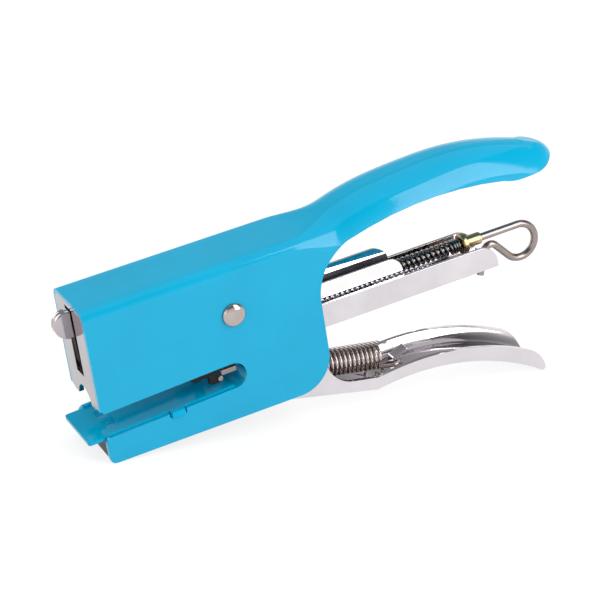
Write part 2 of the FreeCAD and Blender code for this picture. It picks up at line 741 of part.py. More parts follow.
node("lever_handle", cut("lever_handle", join("lever_blank", arms, tongue, lug), windows,
                         rod_across("lever_bore", dim.pivot_x, dim.pivot_z, sleeve_bore, half), *tongue_holes))
tongue_rivets = []
for number, x, z in rivet_holes:
    tongue_rivets.append(rod_across(f"tongue_rivet{number}", x, z, 0.8, dim.tongue_half))
    tongue_rivets.append(rod_across(f"tongue_rivet_head{number}", x, z, 1.4, dim.tongue_half + 0.5))
flush = bar("rivet_space", (0, 20), dim.tongue_half, (0, 30))
heads = cut("tongue_rivet_heads", join("rivet_heads", tongue_rivets[1], tongue_rivets[3]), flush)
node("tongue_rivets", join("tongue_rivets", tongue_rivets[0], tongue_rivets[2], heads))

# ---- leaf spring that presses the magazine down, held between the tongue's spread plates

splay_share = (clamp_x - dim.splay_start) / (splay_x - dim.splay_start)
splay_half = dim.tongue_half + (lever_half - dim.tongue_half) * splay_share
eye_radius = clamp_pin + dim.running_fit + dim.leaf_sheet
leaf_side = outline("leaf_side", side_plane, [
    (clamp_x, clamp_z - eye_radius),
    (clamp_x, clamp_z - clamp_pin - dim.running_fit),
    (dim.leaf_contact + 0.1, dim.cover_top + 0.1 + dim.leaf_sheet),
    (dim.leaf_tip + 0.1, dim.cover_top + 0.9 + dim.leaf_sheet),
    (dim.leaf_tip, dim.cover_top + 0.9),
    (dim.leaf_contact, dim.cover_top + 0.02),
])
leaf_half = 1.5
leaf = join("leaf_blank", extrude("leaf_strip", leaf_side, leaf_half * 2),
            rod_across("leaf_eye", clamp_x, clamp_z, eye_radius, leaf_half))
node("clamp_spring", cut("clamp_spring", leaf,
                         rod_across("leaf_bore", clamp_x, clamp_z, clamp_pin + dim.running_fit, half)))
node("clamp_rivet", extrude("clamp_rivet", disc("clamp_outline", clamp_x, clamp_z, clamp_pin),
                             (splay_half + clamp_pin) * 2))

# ---- magazine: channel with hinge ears, cover, staples and driver blade

magazine_half = dim.magazine_width / 2
channel_front = 2.6
round_x = dim.magazine_end - dim.magazine_round
channel_side = outline("channel_side", side_plane, [
    (channel_front, 0),
    (dim.magazine_end, 0),
    (dim.magazine_end, dim.magazine_height - dim.magazine_round, dim.magazine_round),
    (round_x, dim.magazine_height),
    (channel_front, dim.magazine_height),
])
channel_space = bar("channel_space", (0, dim.magazine_end + 1), magazine_half - dim.magazine_sheet,
                    (dim.magazine_sheet, 20))
latch_slot = bar("latch_slot", (dim.magazine_end - 4, dim.magazine_end + 1), dim.rod_wire / 2 + dim.gap, (-1, 3))
channel = cut("channel", extrude("channel_block", channel_side, magazine_half * 2), channel_space, latch_slot)
ear_top = dim.magazine_sheet / 2
ear_side = outline("ear_side", side_plane, [
    (dim.hinge_x - 3.4, ear_top),
    (dim.hinge_x - 2.2, dim.hinge_z, 2.2),
    (dim.hinge_x, dim.hinge_z - 2.2, 2.2),
    (dim.hinge_x + 2.2, dim.hinge_z),
    (dim.hinge_x + 3.4, ear_top),
])
ear_half = 5.4
ears = cut("ears", extrude("ear_block", ear_side, ear_half * 2),
           bar("ear_space", (0, dim.magazine_end), ear_half - dim.magazine_sheet, (-8, 0)),
           rod_across("ear_bore", dim.hinge_x, dim.hinge_z, pin_radius + dim.running_fit, half))
node("magazine_channel", join("magazine_channel", channel, ears))

cover_front = channel_front + 1.4
cover_bottom = dim.magazine_height + 0.45
cover_side = outline("cover_side", side_plane, [
    (cover_front, cover_bottom),
    (dim.cover_end, cover_bottom),
    (dim.cover_end, dim.cover_top - dim.cover_round, dim.cover_round),
    (dim.cover_end - dim.cover_round, dim.cover_top),
    (cover_front, dim.cover_top),
])
cover_space = bar("cover_space", (0, dim.magazine_end), dim.cover_half - dim.cover_sheet,
                  (0, dim.cover_top - dim.cover_sheet))
cover_opening = bar("cover_opening", (dim.roof_end, dim.magazine_end), dim.cover_half - dim.cover_sheet, (0, 20))
feet = []
for label, x in (("front", 8), ("rear", 40)):
    foot = bar(f"cover_foot_{label}", (x, x + 4), magazine_half, (dim.magazine_height, cover_bottom + 0.2))
    feet.append(foot)
node("magazine_cover", cut("magazine_cover",
                           join("cover_blank", extrude("cover_block", cover_side, dim.cover_half * 2), *feet),
                           cover_space, cover_opening))

strip_front = channel_front + 0.6
strip_rear = strip_front + dim.strip_length
crown_top = dim.magazine_sheet + 0.1 + dim.leg_height
node("staple_strip", cut("staple_strip",
                         bar("strip_block", (strip_front, strip_rear), dim.crown_half, (dim.magazine_sheet + 0.1, crown_top)),
                         bar("strip_space", (0, strip_rear + 1), dim.crown_half - dim.staple_wire,
                             (-1, crown_top - dim.staple_wire))))

blade_front = dim.plate_sheet + dim.gap
blade_bottom = crown_top + 0.4
blade = bar("blade_blank", (blade_front, blade_front + dim.blade_sheet), dim.crown_half, (blade_bottom, dim.slot_top + 0.3))
blade_window = bar("blade_window", (0, 5), dim.tongue_half + dim.gap + 0.05,
                   (dim.tongue_z - dim.tongue_radius - 0.65, dim.slot_top - 0.1))
node("driver_blade", cut("driver_blade", blade, blade_window))

# ---- follower: pusher, its spring, and the pull-out rod with bush and clip

pusher_x = strip_rear + dim.gap
pusher_rear = pusher_x + dim.pusher_length
pusher_low = bar("pusher_low", (pusher_x, pusher_rear), dim.crown_half, (dim.magazine_sheet + dim.gap, dim.magazine_height - dim.gap))
pusher_high = bar("pusher_high", (pusher_x, pusher_rear), dim.cover_half - dim.cover_sheet - dim.gap,
                  (dim.magazine_height - 2, dim.cover_top - dim.cover_sheet - dim.gap))
node("staple_pusher", join("staple_pusher", pusher_low, pusher_high))


def coil(name, x, z, rise, length, mean_radius, wire_radius, pitch):
    """Helical spring whose axis starts at (x, z) and is raised by rise degrees from the X axis."""
    turn = Rotation(Vector(0, 1, 0), 90 - rise)
    down = sin(radians(90 - rise))
    ahead = cos(radians(90 - rise))
    helix = doc.addObject("Part::Helix", f"{name}_helix")
    helix.Placement = Placement(Vector(0, 0, 0), turn)
    helix.SegmentLength = 0
    bind(helix, Pitch=pitch, Height=length, Radius=mean_radius, Base_x=x, Base_z=z)
    section = doc.addObject("Part::Circle", f"{name}_section")
    section.Placement = Placement(Vector(0, 0, 0), turn.multiply(Rotation(Vector(1, 0, 0), 90)))
    bind(section, Radius=wire_radius, Base_x=x + mean_radius * ahead, Base_z=z - mean_radius * down)
    sweep = doc.addObject("Part::Sweep", name)
    sweep.Sections = [section]
    sweep.Spine = (helix, [])
    sweep.Solid = True
    sweep.Frenet = True
    return sweep


spring_radius = dim.spring_wire / 2
node("pusher_spring", coil("pusher_spring", pusher_rear + spring_radius + 0.05, dim.rod_z, 0,
                           dim.bush_x - pusher_rear - dim.spring_wire - 0.1, dim.spring_mean / 2, spring_radius,
                           dim.spring_pitch))

flange_end = dim.bush_x + dim.bush_flange_thickness
bush = join("bush_blank", rod_along("bush_flange", dim.bush_x, flange_end, dim.rod_z, dim.bush_flange / 2),
            rod_along("bush_tube", dim.bush_x, dim.bush_x + dim.bush_length, dim.rod_z, dim.bush_tube / 2))
rod_radius = dim.rod_wire / 2
node("rod_bush", cut("rod_bush", bush, rod_along("bush_bore", 0, dim.magazine_end + 9, dim.rod_z, rod_radius)))
clip_x = dim.rod_start + 0.8
node("rod_clip", cut("rod_clip", rod_along("clip_blank", clip_x, clip_x + 0.8, dim.rod_z, rod_radius + 0.4),
                     rod_along("clip_bore", 0, dim.magazine_end, dim.rod_z, rod_radius)))

# Wire: straight inner part, finger loop, rise, latch bend and a foot through the magazine's floor.
wrap = radians(50)
loop_z = dim.rod_z - dim.loop_radius
rise_start_x = dim.loop_x - dim.loop_radius * sin(wrap)
rise_start_z = loop_z - dim.loop_radius * cos(wrap)
latch_start_x = rise_start_x - dim.latch_run * cos(wrap)
latch_start_z = rise_start_z + dim.latch_run * sin(wrap)
latch_x = latch_start_x - dim.latch_radius * sin(wrap)
latch_z = latch_start_z - dim.latch_radius * cos(wrap)
lean = radians(18)
foot_start_x = latch_x - dim.latch_radius * cos(lean)
foot_start_z = latch_z + dim.latch_radius * sin(lean)
rod_path = outline("rod_path", side_plane, [
    (dim.rod_start, dim.rod_z),
    (dim.loop_x, dim.rod_z, -dim.loop_radius),
    (dim.loop_x + dim.loop_radius, loop_z, -dim.loop_radius),
    (rise_start_x, rise_start_z),
    (latch_start_x, latch_start_z, dim.latch_radius),
    (foot_start_x, foot_start_z),
    (foot_start_x + (dim.foot_z - foot_start_z) * tan(lean), dim.foot_z),
], closed=False)
rod_section = doc.addObject("Part::Circle", "rod_section")
rod_section.Placement = Placement(Vector(0, 0, 0), Rotation(Vector(0, 1, 0), 90))
bind(rod_section, Radius=rod_radius, Base_x=dim.rod_start, Base_z=dim.rod_z)
rod = doc.addObject("Part::Sweep", "pusher_rod")
rod.Sections = [rod_section]
rod.Spine = (rod_path, [])
rod.Solid = True
node("pusher_rod", rod)

# ---- return spring between the anvil's tab and the lever's lug


def ring(name, x, z, rise, mean_radius, wire_radius, arc=360):
    """Wire ring lying along the spring; an arc of 180 degrees is its front half."""
    torus = doc.addObject("Part::Torus", name)
    torus.Placement = Placement(Vector(0, 0, 0), Rotation(Vector(0, 1, 0), -rise).multiply(
        Rotation(Vector(0, 0, 1), 90)))
    torus.Angle3 = arc
    return bind(torus, Radius1=mean_radius, Radius2=wire_radius, Base_x=x, Base_z=z)


fall = degrees(atan2((dim.return_rear_z - dim.return_front_z).value, (dim.return_rear_x - dim.return_front_x).value))
along_x = cos(radians(fall))
along_z = sin(radians(fall))
return_radius = dim.return_mean / 2
return_wire = dim.return_wire / 2
coil_run = (dim.return_rear_x - dim.return_front_x) / along_x
return_coil = coil("return_coil", dim.return_front_x, dim.return_front_z, fall, coil_run, return_radius, return_wire,
                   dim.return_pitch)
front_x = dim.return_front_x - dim.hook_reach * along_x
front_z = dim.return_front_z - dim.hook_reach * along_z
pieces = [ring("front_bend", front_x, front_z, fall, return_radius, return_wire, 180)]
for label, sign in (("near", -1), ("far", 1)):
    leg = doc.addObject("Part::Cylinder", f"eye_leg_{label}")
    leg.Placement = Placement(Vector(0, 0, 0), Rotation(Vector(0, 1, 0), 90 - fall))
    bind(leg, Radius=return_wire, Height=dim.hook_reach - return_wire, Base_x=front_x,
         Base_y=return_radius * sign, Base_z=front_z)
    pieces.append(leg)
front_eye = join("front_eye", *pieces)
rear_eye = ring("rear_eye", eye_x, eye_z, 0, dim.return_eye, return_wire)
spring = doc.addObject("Part::Compound", "return_spring")
spring.Links = [return_coil, front_eye, rear_eye]
node("return_spring", spring)

# ---- stand the stapler on the jaw's front corner and the lever's rear end

doc.recompute()
span_x = (dim.lever_end_x - dim.jaw_round).value
span_z = (dim.lever_end_z - dim.jaw_depth + dim.jaw_round).value
pitch = atan2(span_z, span_x) - asin(dim.jaw_round.value / sqrt(span_x ** 2 + span_z ** 2))
standing = Placement(Vector(0, 0, 0), Rotation(Vector(0, 1, 0), -degrees(pitch)))
whole = FreeCAD.BoundBox()
for thing in nodes:
    thing.Placement = standing
doc.recompute()
for thing in nodes:
    whole.add(thing.Shape.optimalBoundingBox())
standing.Base = Vector(-whole.Center.x, -whole.Center.y, -whole.ZMin)
for thing in nodes:
    thing.Placement = standing
doc.recompute()

for thing in doc.Objects:
    if "Invalid" in thing.State or "Error" in thing.State:
        raise RuntimeError(f"{thing.Name} did not compute: {thing.State}")
os.makedirs("parts", exist_ok=True)
for thing in nodes:
    shape = thing.Shape
    if shape.isNull() or not shape.isValid():
        raise RuntimeError(f"{thing.Label} has no valid shape")
    print(f"{thing.Label}: {len(shape.Solids)} solid(s), {shape.Volume:.1f} mm3")
    shape.exportStep(f"parts/{thing.Label}.step")
print(f"pitch {degrees(pitch):.3f} degrees, base {standing.Base.x:.4f} {standing.Base.z:.4f}")
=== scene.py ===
import json
import bpy
from math import asin, atan2, cos, degrees, exp, hypot, pi, radians, sin, sqrt, tan
from mathutils import Matrix, Vector


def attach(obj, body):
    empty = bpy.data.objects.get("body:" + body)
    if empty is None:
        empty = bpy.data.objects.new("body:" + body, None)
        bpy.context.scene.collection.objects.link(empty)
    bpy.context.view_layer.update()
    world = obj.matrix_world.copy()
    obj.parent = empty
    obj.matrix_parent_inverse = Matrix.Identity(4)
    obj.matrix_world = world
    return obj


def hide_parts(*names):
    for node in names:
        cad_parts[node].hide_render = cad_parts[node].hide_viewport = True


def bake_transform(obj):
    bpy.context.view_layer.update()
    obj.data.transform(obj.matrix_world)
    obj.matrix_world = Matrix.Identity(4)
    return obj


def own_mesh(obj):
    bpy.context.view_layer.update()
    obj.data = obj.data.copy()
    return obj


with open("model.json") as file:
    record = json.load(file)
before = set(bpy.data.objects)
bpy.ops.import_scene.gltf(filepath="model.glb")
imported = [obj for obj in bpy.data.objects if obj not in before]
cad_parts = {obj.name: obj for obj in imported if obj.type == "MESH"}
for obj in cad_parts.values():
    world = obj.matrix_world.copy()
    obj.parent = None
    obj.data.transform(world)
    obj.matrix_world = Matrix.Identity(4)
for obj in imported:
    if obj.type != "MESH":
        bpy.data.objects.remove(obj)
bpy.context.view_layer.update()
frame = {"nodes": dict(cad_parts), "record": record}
print("stage: frame loaded")

# The head is drawn level, in millimetres: x back from the nose, y across, z up from the head's front edge.
# headToStand turns that into metres on the surface that the stapler stands on.
joints = {joint["name"]: joint for joint in frame["record"]["behaviour"]["joints"]}
rear = Vector(joints["rod_pull"]["axis"])
rise = Vector((-rear.z, 0, rear.x))
pivotHead = {"x": 34.1, "z": 12.6}
pivotStand = Vector(joints["lever_squeeze"]["pos_m"])
headOrigin = pivotStand - (rear * pivotHead["x"] + rise * pivotHead["z"]) * 0.001
headToStand = Matrix.Translation(headOrigin) @ Matrix((
    (rear.x, 0, rise.x, 0), (0, 1, 0, 0), (rear.z, 0, rise.z, 0), (0, 0, 0, 1))) @ Matrix.Scale(0.001, 4)
standToHead = headToStand.inverted()


# Modelling helpers.

def activate(piece):
    if bpy.context.object and bpy.context.object.mode != "OBJECT":
        bpy.ops.object.mode_set(mode="OBJECT")
    bpy.ops.object.select_all(action="DESELECT")
    piece.select_set(True)
    bpy.context.view_layer.objects.active = piece
    return piece


def selectEdges(piece, chosen):
    # leaves the piece in edit mode with the edges for which chosen(a, b) is true selected
    activate(piece)
    bpy.ops.object.mode_set(mode="EDIT")
    bpy.ops.mesh.select_mode(type="EDGE")
    bpy.ops.mesh.select_all(action="DESELECT")
    bpy.ops.object.mode_set(mode="OBJECT")
    points = piece.data.vertices
    for edge in piece.data.edges:
        edge.select = bool(chosen(points[edge.vertices[0]].co, points[edge.vertices[1]].co))
    bpy.ops.object.mode_set(mode="EDIT")


def walk(corners, closed=True, stepDegrees=6):
    # corners are (x, z) or (x, z, radius), where a radius makes an arc to the next corner, to the left
    # where it is positive
    path = []
    count = len(corners)
    for number in range(count if closed else count - 1):
        start, end = corners[number], corners[(number + 1) % count]
        path.append((start[0], start[1]))
        if len(start) < 3:
            continue
        radius, left = abs(start[2]), start[2] > 0
        dx, dz = end[0] - start[0], end[1] - start[1]
        chord = hypot(dx, dz)
        offset = sqrt(max(radius ** 2 - chord ** 2 / 4, 0)) * (1 if left else -1)
        centre = ((start[0] + end[0]) / 2 - dz / chord * offset,
                  (start[1] + end[1]) / 2 + dx / chord * offset)
        turn = 2 * asin(min(chord / 2 / radius, 1)) * (1 if left else -1)
        first = atan2(start[1] - centre[1], start[0] - centre[0])
        steps = max(2, round(abs(degrees(turn)) / stepDegrees))
        for step in range(1, steps):
            angle = first + turn * step / steps
            path.append((centre[0] + radius * cos(angle), centre[1] + radius * sin(angle)))
    if not closed:
        path.append((corners[-1][0], corners[-1][1]))
    return path


planSlab = {"low": -40, "height": 100}   # deep enough to cut through anything


def slab(name, corners, halfWidth, plan=False, stepDegrees=6):
    # a circle's vertices are put on the outline, and its face is extruded across
    # with plan the outline is (x, y), seen from above
    path = walk(corners, stepDegrees=stepDegrees)
    bpy.ops.object.select_all(action="DESELECT")
    bpy.ops.mesh.primitive_circle_add(vertices=len(path), fill_type="NGON", location=(0, 0, 0))
    piece = bpy.context.object
    piece.name = name
    for vertex, (first, second) in zip(piece.data.vertices, path):
        vertex.co = (first, second, planSlab["low"]) if plan else (first, -halfWidth, second)
    activate(piece)
    bpy.ops.object.mode_set(mode="EDIT")
    bpy.ops.mesh.select_all(action="SELECT")
    across = (0, 0, planSlab["height"]) if plan else (0, halfWidth * 2, 0)
    bpy.ops.mesh.extrude_region_move(TRANSFORM_OT_translate={"value": across})
    bpy.ops.mesh.select_all(action="SELECT")
    bpy.ops.mesh.normals_make_consistent(inside=False)
    bpy.ops.object.mode_set(mode="OBJECT")
    return piece


def block(name, x, y, z):
    bpy.ops.object.select_all(action="DESELECT")
    bpy.ops.mesh.primitive_cube_add(size=1, location=(sum(x) / 2, sum(y) / 2, sum(z) / 2),
                                    scale=(x[1] - x[0], y[1] - y[0], z[1] - z[0]))
    piece = bpy.context.object
    piece.name = name
    bpy.ops.object.transform_apply(location=True, rotation=True, scale=True)
    return piece


def peg(name, x, z, radius, halfWidth, segments=48):
    bpy.ops.object.select_all(action="DESELECT")
    bpy.ops.mesh.primitive_cylinder_add(vertices=segments, radius=radius, depth=halfWidth * 2,
                                        location=(x, 0, z), rotation=(pi / 2, 0, 0))
    piece = bpy.context.object
    piece.name = name
    bpy.ops.object.transform_apply(location=True, rotation=True, scale=True)
    return piece


def combine(piece, tool, kind="DIFFERENCE"):
    activate(piece)
    modifier = piece.modifiers.new("shape", "BOOLEAN")
    modifier.operation = kind
    modifier.solver = "EXACT"
    modifier.object = tool
    bpy.ops.object.modifier_apply(modifier=modifier.name)
    bpy.data.objects.remove(tool)
    return piece


def merge(name, *pieces):
    activate(pieces[0])
    for piece in pieces[1:]:
        piece.select_set(True)
    bpy.ops.object.join()
    bpy.context.object.name = name
    return bpy.context.object


def softenEdges(piece, width, segments=2, angle=35):
    activate(piece)
    modifier = piece.modifiers.new("edges", "BEVEL")
    modifier.width = width
    modifier.segments = segments
    modifier.limit_method = "ANGLE"
    modifier.angle_limit = radians(angle)
    modifier.use_clamp_overlap = True
    bpy.ops.object.modifier_apply(modifier=modifier.name)
    return piece


def weld(piece, distance):
    activate(piece)
    bpy.ops.object.mode_set(mode="EDIT")
    bpy.ops.mesh.select_all(action="SELECT")
    bpy.ops.mesh.remove_doubles(threshold=distance)
    bpy.ops.object.mode_set(mode="OBJECT")
    return piece


nodeCopy = {"weld": 0.002, "flatWithin": 0.6, "segments": 2, "sharperThan": 30}


def fromNode(name, node, width):
    # a copy of a CAD node with its flat faces made whole and its edges rounded
    piece = frame["nodes"][node].copy()
    piece.data = piece.data.copy()
    piece.name = name
    piece.parent = None
    for key in list(piece.keys()):
        del piece[key]
    bpy.context.scene.collection.objects.link(piece)
    piece.data.transform(standToHead)
    weld(piece, nodeCopy["weld"])
    bpy.ops.object.mode_set(mode="EDIT")
    bpy.ops.mesh.select_all(action="SELECT")
    bpy.ops.mesh.dissolve_limited(angle_limit=radians(nodeCopy["flatWithin"]))
    bpy.ops.object.mode_set(mode="OBJECT")
    return softenEdges(piece, width, nodeCopy["segments"], nodeCopy["sharperThan"])


def finish(piece, body, node, material, smooth=35):
    # body is None for a spring that bends across a joint, and node for a piece that only shows
    activate(piece)
    bpy.ops.object.shade_smooth_by_angle(angle=radians(smooth))
    flats = piece.modifiers.new("flats", "WEIGHTED_NORMAL")   # keeps big faces flat up to their rounded edges
    flats.keep_sharp = True
    bpy.ops.object.modifier_apply(modifier=flats.name)
    piece.data.transform(headToStand)
    piece.data.materials.clear()
    piece.data.materials.append(material)
    if body:
        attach(piece, body)
    if node:
        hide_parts(node)
    return piece


# Materials. Every pattern's size is in millimetres.

def hexColor(code):
    channels = [int(code[i:i + 2], 16) / 255 for i in (0, 2, 4)]
    return tuple(c / 12.92 if c <= 0.04045 else ((c + 0.055) / 1.055) ** 2.4 for c in channels) + (1,)


def addNode(tree, kind, settings=None, links=None):
    node = tree.nodes.new(kind)
    for name, value in (settings or {}).items():
        if isinstance(name, int) or name in node.inputs:
            node.inputs[name].default_value = value
        else:
            setattr(node, name, value)
    for name, source in (links or {}).items():
        tree.links.new(source, node.inputs[name])
    return node


def newMaterial(name):
    material = bpy.data.materials.new(name)
    material.use_nodes = True
    tree = material.node_tree
    shader = tree.nodes["Principled BSDF"]
    coords = addNode(tree, "ShaderNodeTexCoord")
    return material, tree, shader, coords.outputs["Object"]


def ramp(tree, source, stops):
    node = addNode(tree, "ShaderNodeValToRGB", links={"Fac": source})
    elements = node.color_ramp.elements
    while len(elements) < len(stops):
        elements.new(0.5)
    for element, (position, color) in zip(elements, stops):
        element.position = position
        element.color = color
    return node.outputs["Color"]


def grey(value):
    return (value, value, value, 1)


def noise(tree, source, sizeMm, detail):
    settings = {"Scale": 1000 / sizeMm, "Detail": detail}
    return addNode(tree, "ShaderNodeTexNoise", settings, {"Vector": source}).outputs["Fac"]


def spread(tree, source, low, high, settings=None):
    limits = {**(settings or {}), "To Min": low, "To Max": high}
    return addNode(tree, "ShaderNodeMapRange", limits, {"Value": source}).outputs["Result"]


def emboss(tree, shader, source, strength, height):
    settings = {"Strength": strength, "Distance": height}
    bump = addNode(tree, "ShaderNodeBump", settings, {"Height": source})
    tree.links.new(bump.outputs["Normal"], shader.inputs["Normal"])


# Enamel sprayed and baked on folded steel: one even, strong blue, glossy, with faint orange peel.
enamelLook = {"roughLow": 0.07, "roughHigh": 0.13, "hazeMm": 6, "tintMm": 18, "peelMm": 1.6, "peel": 0.05,
              "peelHeight": 0.00006}


def makeEnamel(name, gloss, color, deep):
    look = enamelLook
    material, tree, shader, coords = newMaterial(name)
    tint = ramp(tree, noise(tree, coords, look["tintMm"], 2), [(0.3, hexColor(deep)), (0.7, hexColor(color))])
    tree.links.new(tint, shader.inputs["Base Color"])
    rough = spread(tree, noise(tree, coords, look["hazeMm"], 4), look["roughLow"], look["roughHigh"])
    tree.links.new(rough, shader.inputs["Roughness"])
    emboss(tree, shader, noise(tree, coords, look["peelMm"], 1), look["peel"], look["peelHeight"])
    shader.inputs["Specular IOR Level"].default_value = gloss
    return material


metalLook = {"cloudMm": 9, "grainShare": 0.6, "mixLow": 0.4, "mixHigh": 1.2, "scratchHeight": 0.00002}


def makeMetal(name, color, dark, roughLow, roughHigh, stretch, grainMm, scratch):
    # stretch draws the marks out along the axis with the small number; scratch is how deep they look
    look = metalLook
    material, tree, shader, coords = newMaterial(name)
    mapping = addNode(tree, "ShaderNodeMapping", {"Scale": stretch}, {"Vector": coords})
    grain = addNode(tree, "ShaderNodeTexNoise", {"Scale": 1000 / grainMm, "Detail": 5, "Roughness": 0.65},
                    {"Vector": mapping.outputs["Vector"]})
    cloud = noise(tree, coords, look["cloudMm"], 3)
    tint = ramp(tree, cloud, [(0.3, hexColor(dark)), (0.7, hexColor(color))])
    tree.links.new(tint, shader.inputs["Base Color"])
    mixed = addNode(tree, "ShaderNodeMath", {"operation": "MULTIPLY_ADD", 1: look["grainShare"]},
                    {0: grain.outputs["Fac"], 2: cloud})
    rough = spread(tree, mixed.outputs["Value"], roughLow, roughHigh,
                   {"From Min": look["mixLow"], "From Max": look["mixHigh"]})
    tree.links.new(rough, shader.inputs["Roughness"])
    emboss(tree, shader, grain.outputs["Fac"], scratch, look["scratchHeight"])
    shader.inputs["Metallic"].default_value = 1
    return material


bakedBlueEnamel = makeEnamel("bakedBlueEnamel", 0.36, "00A4CC", "009EC6")
# The anvil plate's copy of the enamel is a touch lighter and shines far less: the low shine is painted shade,
# keeping reflections of the white floor off the plate under the head.
throatShadeEnamel = makeEnamel("throatShadeEnamel", 0.12, "00A8D2", "00A1CA")
# Steel dipped bright in nickel and chrome: near-mirror with soft handling marks.
brightChrome = makeMetal("brightChromePlate", "DCD7DB", "D2CDD1", 0.03, 0.1, (1, 1, 1), 2.2, 0.04)
# The same chrome mirror with a greyer, warmer base colour, for the nose tab: a painted duller reflection.
dimReflectionChrome = makeMetal("dimReflectionChromePlate", "BDB6B9", "A7A0A3", 0.05, 0.13, (1, 1, 1), 1.2, 0.05)
# Nickel on sheet: a mirror too, with faint rolling lines along the sheet.
nickelSheet = makeMetal("brightNickelSheet", "DCD8DB", "CFCACE", 0.03, 0.11, (0.08, 1, 1), 0.5, 0.05)
# The nickel sheet with a near-white base colour, for the magazine cover: a painted bright reflection.
brightReflectionNickel = makeMetal("brightReflectionNickelSheet", "F6F4F5", "EEECED", 0.04, 0.12, (0.08, 1, 1), 0.5, 0.05)
# A darker, rougher copy of the nickel sheet for the inside of the magazine cover: painted shade in its
# channel, flat grey with a wide, soft sheen.
shadedInsideNickel = makeMetal("insideShadeNickel", "8E8C92", "77757C", 0.34, 0.5, (0.08, 1, 1), 0.5, 0.05)
# Plate brushed up and down before plating: grey, with its shine drawn out in fine upright lines.
brushedNickel = makeMetal("brushedNickelPlate", "ABA5A8", "989295", 0.05, 0.16, (1, 1, 0.06), 0.45, 0.08)
# Wire pulled through a die: warm grey, satin, with marks along its length.
nickelWire = makeMetal("drawnNickelWire", "A39894", "8A7F7B", 0.16, 0.3, (0.1, 1, 1), 0.4, 0.1)
# Plated after winding or turning: warm and glossy, with a bright spot on every turn or dome.
coiledWire = makeMetal("coiledNickelWire", "C9BFBB", "AFA39E", 0.06, 0.18, (1, 1, 1), 0.5, 0.06)
# Hardened steel left as ground, without plating: dull grey with marks across.
groundSteel = makeMetal("groundBladeSteel", "9C9A9C", "807E80", 0.25, 0.42, (1, 0.1, 1), 0.4, 0.15)
# Flat staple wire, zinc-washed: light and satin, with marks along each crown.
drawnWire = makeMetal("drawnStapleWire", "D2D0CE", "B2B0AE", 0.2, 0.35, (1, 0.05, 1), 0.3, 0.1)
# Brass cut on a lathe: pale yellow, with fine rings from the tool.
turnedBrass = makeMetal("turnedBrass", "C4AB84", "977B53", 0.18, 0.32, (1, 0.1, 0.1), 0.35, 0.14)


# Spring wire blackened in hot oil: near-black, with a bright oily streak on the crown of each turn.
blackWireLook = {"cloudMm": 3, "roughLow": 0.12, "roughHigh": 0.28, "oil": 1.0, "oilRough": 0.06}


def makeBlackWire():
    look = blackWireLook
    material, tree, shader, coords = newMaterial("blackenedSpringWire")
    cloud = noise(tree, coords, look["cloudMm"], 3)
    tint = ramp(tree, cloud, [(0.3, hexColor("676361")), (0.75, hexColor("87817E"))])
    tree.links.new(tint, shader.inputs["Base Color"])
    tree.links.new(spread(tree, cloud, look["roughLow"], look["roughHigh"]), shader.inputs["Roughness"])
    shader.inputs["Metallic"].default_value = 1
    shader.inputs["Coat Weight"].default_value = look["oil"]
    shader.inputs["Coat Roughness"].default_value = look["oilRough"]
    return material


# Moulded polystyrene: black, with a fine even grain that breaks up its shine.
blackPlasticLook = {"grainMm": 0.5, "grain": 0.25, "grainHeight": 0.00004, "rough": 0.42, "gloss": 0.25}


def makeBlackPlastic():
    look = blackPlasticLook
    material, tree, shader, coords = newMaterial("mouldedBlackPlastic")
    grain = noise(tree, coords, look["grainMm"], 2)
    tint = ramp(tree, grain, [(0.35, hexColor("070707")), (0.7, hexColor("121212"))])
    tree.links.new(tint, shader.inputs["Base Color"])
    emboss(tree, shader, grain, look["grain"], look["grainHeight"])
    shader.inputs["Roughness"].default_value = look["rough"]
    shader.inputs["Specular IOR Level"].default_value = look["gloss"]
    return material


blackWire = makeBlackWire()
blackPlastic = makeBlackPlastic()
print("stage: materials")


# Body shell: one folded sheet, head and upper handle.

shell = {"half": 9.5, "wall": 1.0, "top": 24.4, "fold": 2.6, "gripFold": 7.6, "tipFold": 2.8, "headEnd": 51.0,
         "crestX": 88.5, "crestZ": 30.5, "arch": 78.0, "dip": 0.6, "dipX": 83.0, "dipRun": 11.0,
         "endRadius": 7.8, "tip": 120.6, "floor": -16.0, "foldSteps": 10, "crossSteps": 4, "edge": 0.16}
# What the sides are cut to: up the nose, well clear of the top, then along the handle's underside, the back of
# the jaw, its lower edge, and the throat. Lengths of the shell's mesh follow in shellSteps.
shellSide = [
    (0.72, 0, 0.72), (0.02, 0.74), (1.1, 45), (135, 45), (135, 24.2), (121, 23.4, -13), (112.4, 20.3),
    (109.4, 20.3, -14), (104, 21.5, 80), (63.5, 20.5, 13.1), (54.9, 8), (54.8, -4.0, -8.5), (46.2, -12.5),
    (1.5, -12.5, -1.5), (0, -11), (0, -7.6, -1.5), (1.5, -6.1), (15.3, -5.52), (15.3, -6.44), (19.3, -6.44),
    (19.3, -5.37), (31.55, -4.9, 3.05), (34.6, -1.85, 3.05), (31.55, 1.2)]
shellSteps = {"head": 3.4, "bend": 0.9, "grip": 1.6, "tipParts": 18}
archCentre = shell["crestZ"] - shell["arch"]
riseX = shell["crestX"] - shell["headEnd"]
riseZ = shell["top"] - archCentre
hollow = (riseX ** 2 + riseZ ** 2 - shell["arch"] ** 2) / (2 * (shell["arch"] - riseZ))
blendX = shell["headEnd"] + riseX * hollow / (hollow + shell["arch"])
endX = shell["tip"] - shell["endRadius"]
sweepRun = endX - blendX
sweep = (sweepRun ** 2 / (shell["half"] - shell["endRadius"]) + shell["half"] + shell["endRadius"]) / 2


def topLine(x):
    if x < shell["headEnd"]:
        return shell["top"]
    if x < blendX:
        return shell["top"] + hollow - sqrt(hollow ** 2 - (x - shell["headEnd"]) ** 2)
    dip = shell["dip"] * exp(-((x - shell["dipX"]) / shell["dipRun"]) ** 2)
    return archCentre + sqrt(shell["arch"] ** 2 - (x - shell["crestX"]) ** 2) - dip


